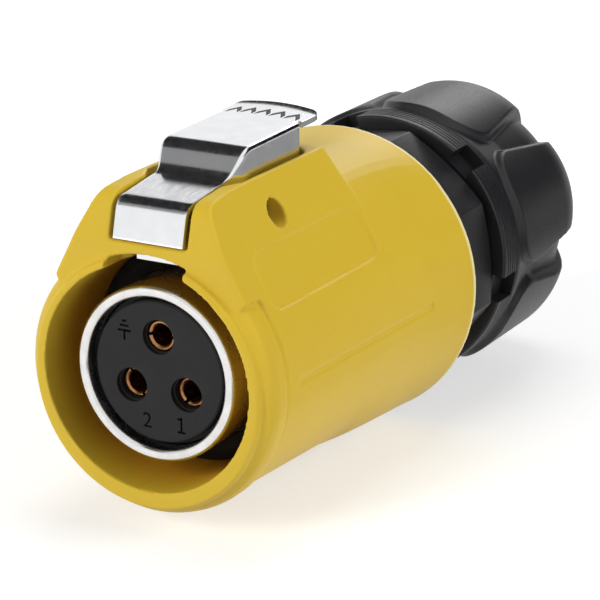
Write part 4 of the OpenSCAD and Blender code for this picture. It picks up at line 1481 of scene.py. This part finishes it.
@dataclass
class Studio:
    """The camera, the soft light and the pale floor."""

    lens_mm: float = 150.0
    sensor_mm: float = 36.0
    picture_px: float = 600.0
    azimuth_deg: float = 28.9
    elevation_deg: float = 18.2
    distance_mm: float = 268.9
    origin_px: Point = (144.3, 380.6)
    clip_m: Point = (0.01, 20.0)
    aim: Triple = (0, 0.035, 0)
    floor_mm: float = -18.2
    floor_half_m: float = 3.0
    floor_shade: float = 0.72
    floor_roughness: float = 0.9
    floor_glow: float = 0.52
    far_glow: float = 0.95
    glow_reach: Point = (0.12, 0.6)
    ambient: float = 0.15
    lamps: tuple[Lamp, ...] = (
        Lamp("front_key", (-0.38, -0.85, 0.42), 0.4, 6.4, False),
        Lamp("top", (-0.05, 0.25, 0.85), 0.5, 2.0, False),
        Lamp("back_window", (-0.14, 0.7, 0.38), 0.25, 0.65),
        Lamp("right_side", (0.75, 0.2, 0.3), 0.4, 3.6, False),
    )
    cards: tuple[Card, ...] = (
        Card("overhead_card", (-0.2525, 0.1, 0.478), (0.77, 0.3), 0.01),
        Card("front_card", (-0.275, -0.3, 0.44), (0.16, 0.3), 0.28),
        Card("side_card", (0.5, 0.55, 0.25), (1.2, 0.8), 0.012),
        Card("floor_card", (0.15, 0.125, -0.018), (0.35, 0.24), 0.3, (0, 0, 1)),
    )

    def build(self) -> None:
        """Sets up the whole studio."""
        self._camera()
        self._world()
        self._floor()
        for lamp in self.lamps:
            self._hang_lamp(lamp)
        for card in self.cards:
            self._hang_card(card)

    @staticmethod
    def _hang(name: str, data: bpy.types.ID, place: Sequence[float], back: Vector) -> Piece:
        """Hangs the camera or a lamp.

        Args:
            name: Its name.
            data: Its camera or lamp data.
            place: Where it hangs.
            back: Where its back points.

        Returns:
            The object.
        """
        hung = add_piece(name, data)
        configure(hung, location=place, rotation_mode="QUATERNION",
                  rotation_quaternion=back.to_track_quat("Z", "Y"))
        return hung

    def _camera(self) -> None:
        """Puts the camera where the photograph was taken."""
        az, el = math.radians(self.azimuth_deg), math.radians(self.elevation_deg)
        back = Vector((math.sin(az) * math.cos(el), -math.cos(az) * math.cos(el), math.sin(el)))
        right = Vector((math.cos(az), math.sin(az), 0))
        up = back.cross(right)
        focal_px = self.lens_mm / self.sensor_mm * self.picture_px
        middle = self.picture_px / 2
        across = (self.origin_px[0] - middle) / focal_px * self.distance_mm
        rise = (middle - self.origin_px[1]) / focal_px * self.distance_mm
        data = bpy.data.cameras.new("camera")
        configure(data, lens=self.lens_mm, sensor_width=self.sensor_mm,
                  clip_start=self.clip_m[0], clip_end=self.clip_m[1])
        place = (back * self.distance_mm - right * across - up * rise) * MM
        bpy.context.scene.camera = self._hang("camera", data, place, back)

    def _world(self) -> None:
        """Lights the object plainly and shows white to the eye and in reflections."""
        world = bpy.data.worlds.new("studio")
        bpy.context.scene.world = world
        world.use_nodes = True
        nodes = NodeBuilder(world.node_tree)
        nodes.tree.nodes.clear()
        strength = nodes.spread(nodes.shown(), 0.0, 1.0, self.ambient, 1.0)
        light = nodes.add("ShaderNodeBackground", {"Color": WHITE, "Strength": strength})
        nodes.feed(light, nodes.tree.nodes.new("ShaderNodeOutputWorld").inputs["Surface"])
        bpy.context.scene.view_settings.view_transform = "Standard"

    def _floor(self) -> None:
        """Lays the pale floor under the connector, white to the eye and with its shadow."""
        mesh = bpy.data.meshes.new("floor")
        half, z = self.floor_half_m, self.floor_mm * MM
        corners = [(-half, -half, z), (half, -half, z), (half, half, z), (-half, half, z)]
        mesh.from_pydata(corners, [], [(0, 1, 2, 3)])
        floor = add_piece("floor", mesh)
        shader = Shader("pale_floor")
        far = shader.length(shader.place)
        full = shader.spread(far, *self.glow_reach, self.floor_glow, self.far_glow)
        glow = shader.spread(shader.shown(), 0.0, 1.0, 0.0, full)
        shader.glow(self.floor_shade, self.floor_roughness, glow)
        mesh.materials.append(shader.material)

    def _hang_lamp(self, lamp: Lamp) -> None:
        """Hangs one lamp.

        Args:
            lamp: What to hang and where.
        """
        data = bpy.data.lights.new(lamp.name, "AREA")
        configure(data, size=lamp.size, energy=lamp.power)
        hung = self._hang(lamp.name, data, lamp.place, Vector(lamp.place) - Vector(self.aim))
        hung.visible_glossy = lamp.in_reflections

    @staticmethod
    def _hang_card(card: Card) -> None:
        """Hangs one card.

        Args:
            card: What to hang and where.
        """
        middle = Vector(card.place)
        facing = Vector(card.facing or card.place).normalized()
        guide = Vector((1, 0, 0)) if abs(facing.y) > 0.7 else Vector((0, 1, 0))
        along = (guide - guide.dot(facing) * facing).normalized() * card.size[0] / 2
        across = along.normalized().cross(facing) * card.size[1] / 2
        mesh = bpy.data.meshes.new(card.name)
        corners = [middle + along + across, middle - along + across,
                   middle - along - across, middle + along - across]
        mesh.from_pydata(corners, [], [(0, 1, 2, 3)])
        hung = add_piece(card.name, mesh)
        shader = Shader(card.name)
        shader.glow(0.0, 1.0, card.shade)
        mesh.materials.append(shader.material)
        configure(hung, visible_camera=False, visible_diffuse=False, visible_shadow=False,
                  visible_transmission=False)


def main() -> None:
    """Builds the connector's looks and the studio."""
    logging.basicConfig(level=logging.INFO, format="%(name)s: %(message)s")
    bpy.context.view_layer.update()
    paint = Paintbox()
    for part in (FrontShell, PushLatch, ContactSet, GlandNut, RearGroup):
        part(paint).build()
    Studio().build()
    bpy.context.view_layer.update()


if __name__ == "__main__":
    main()
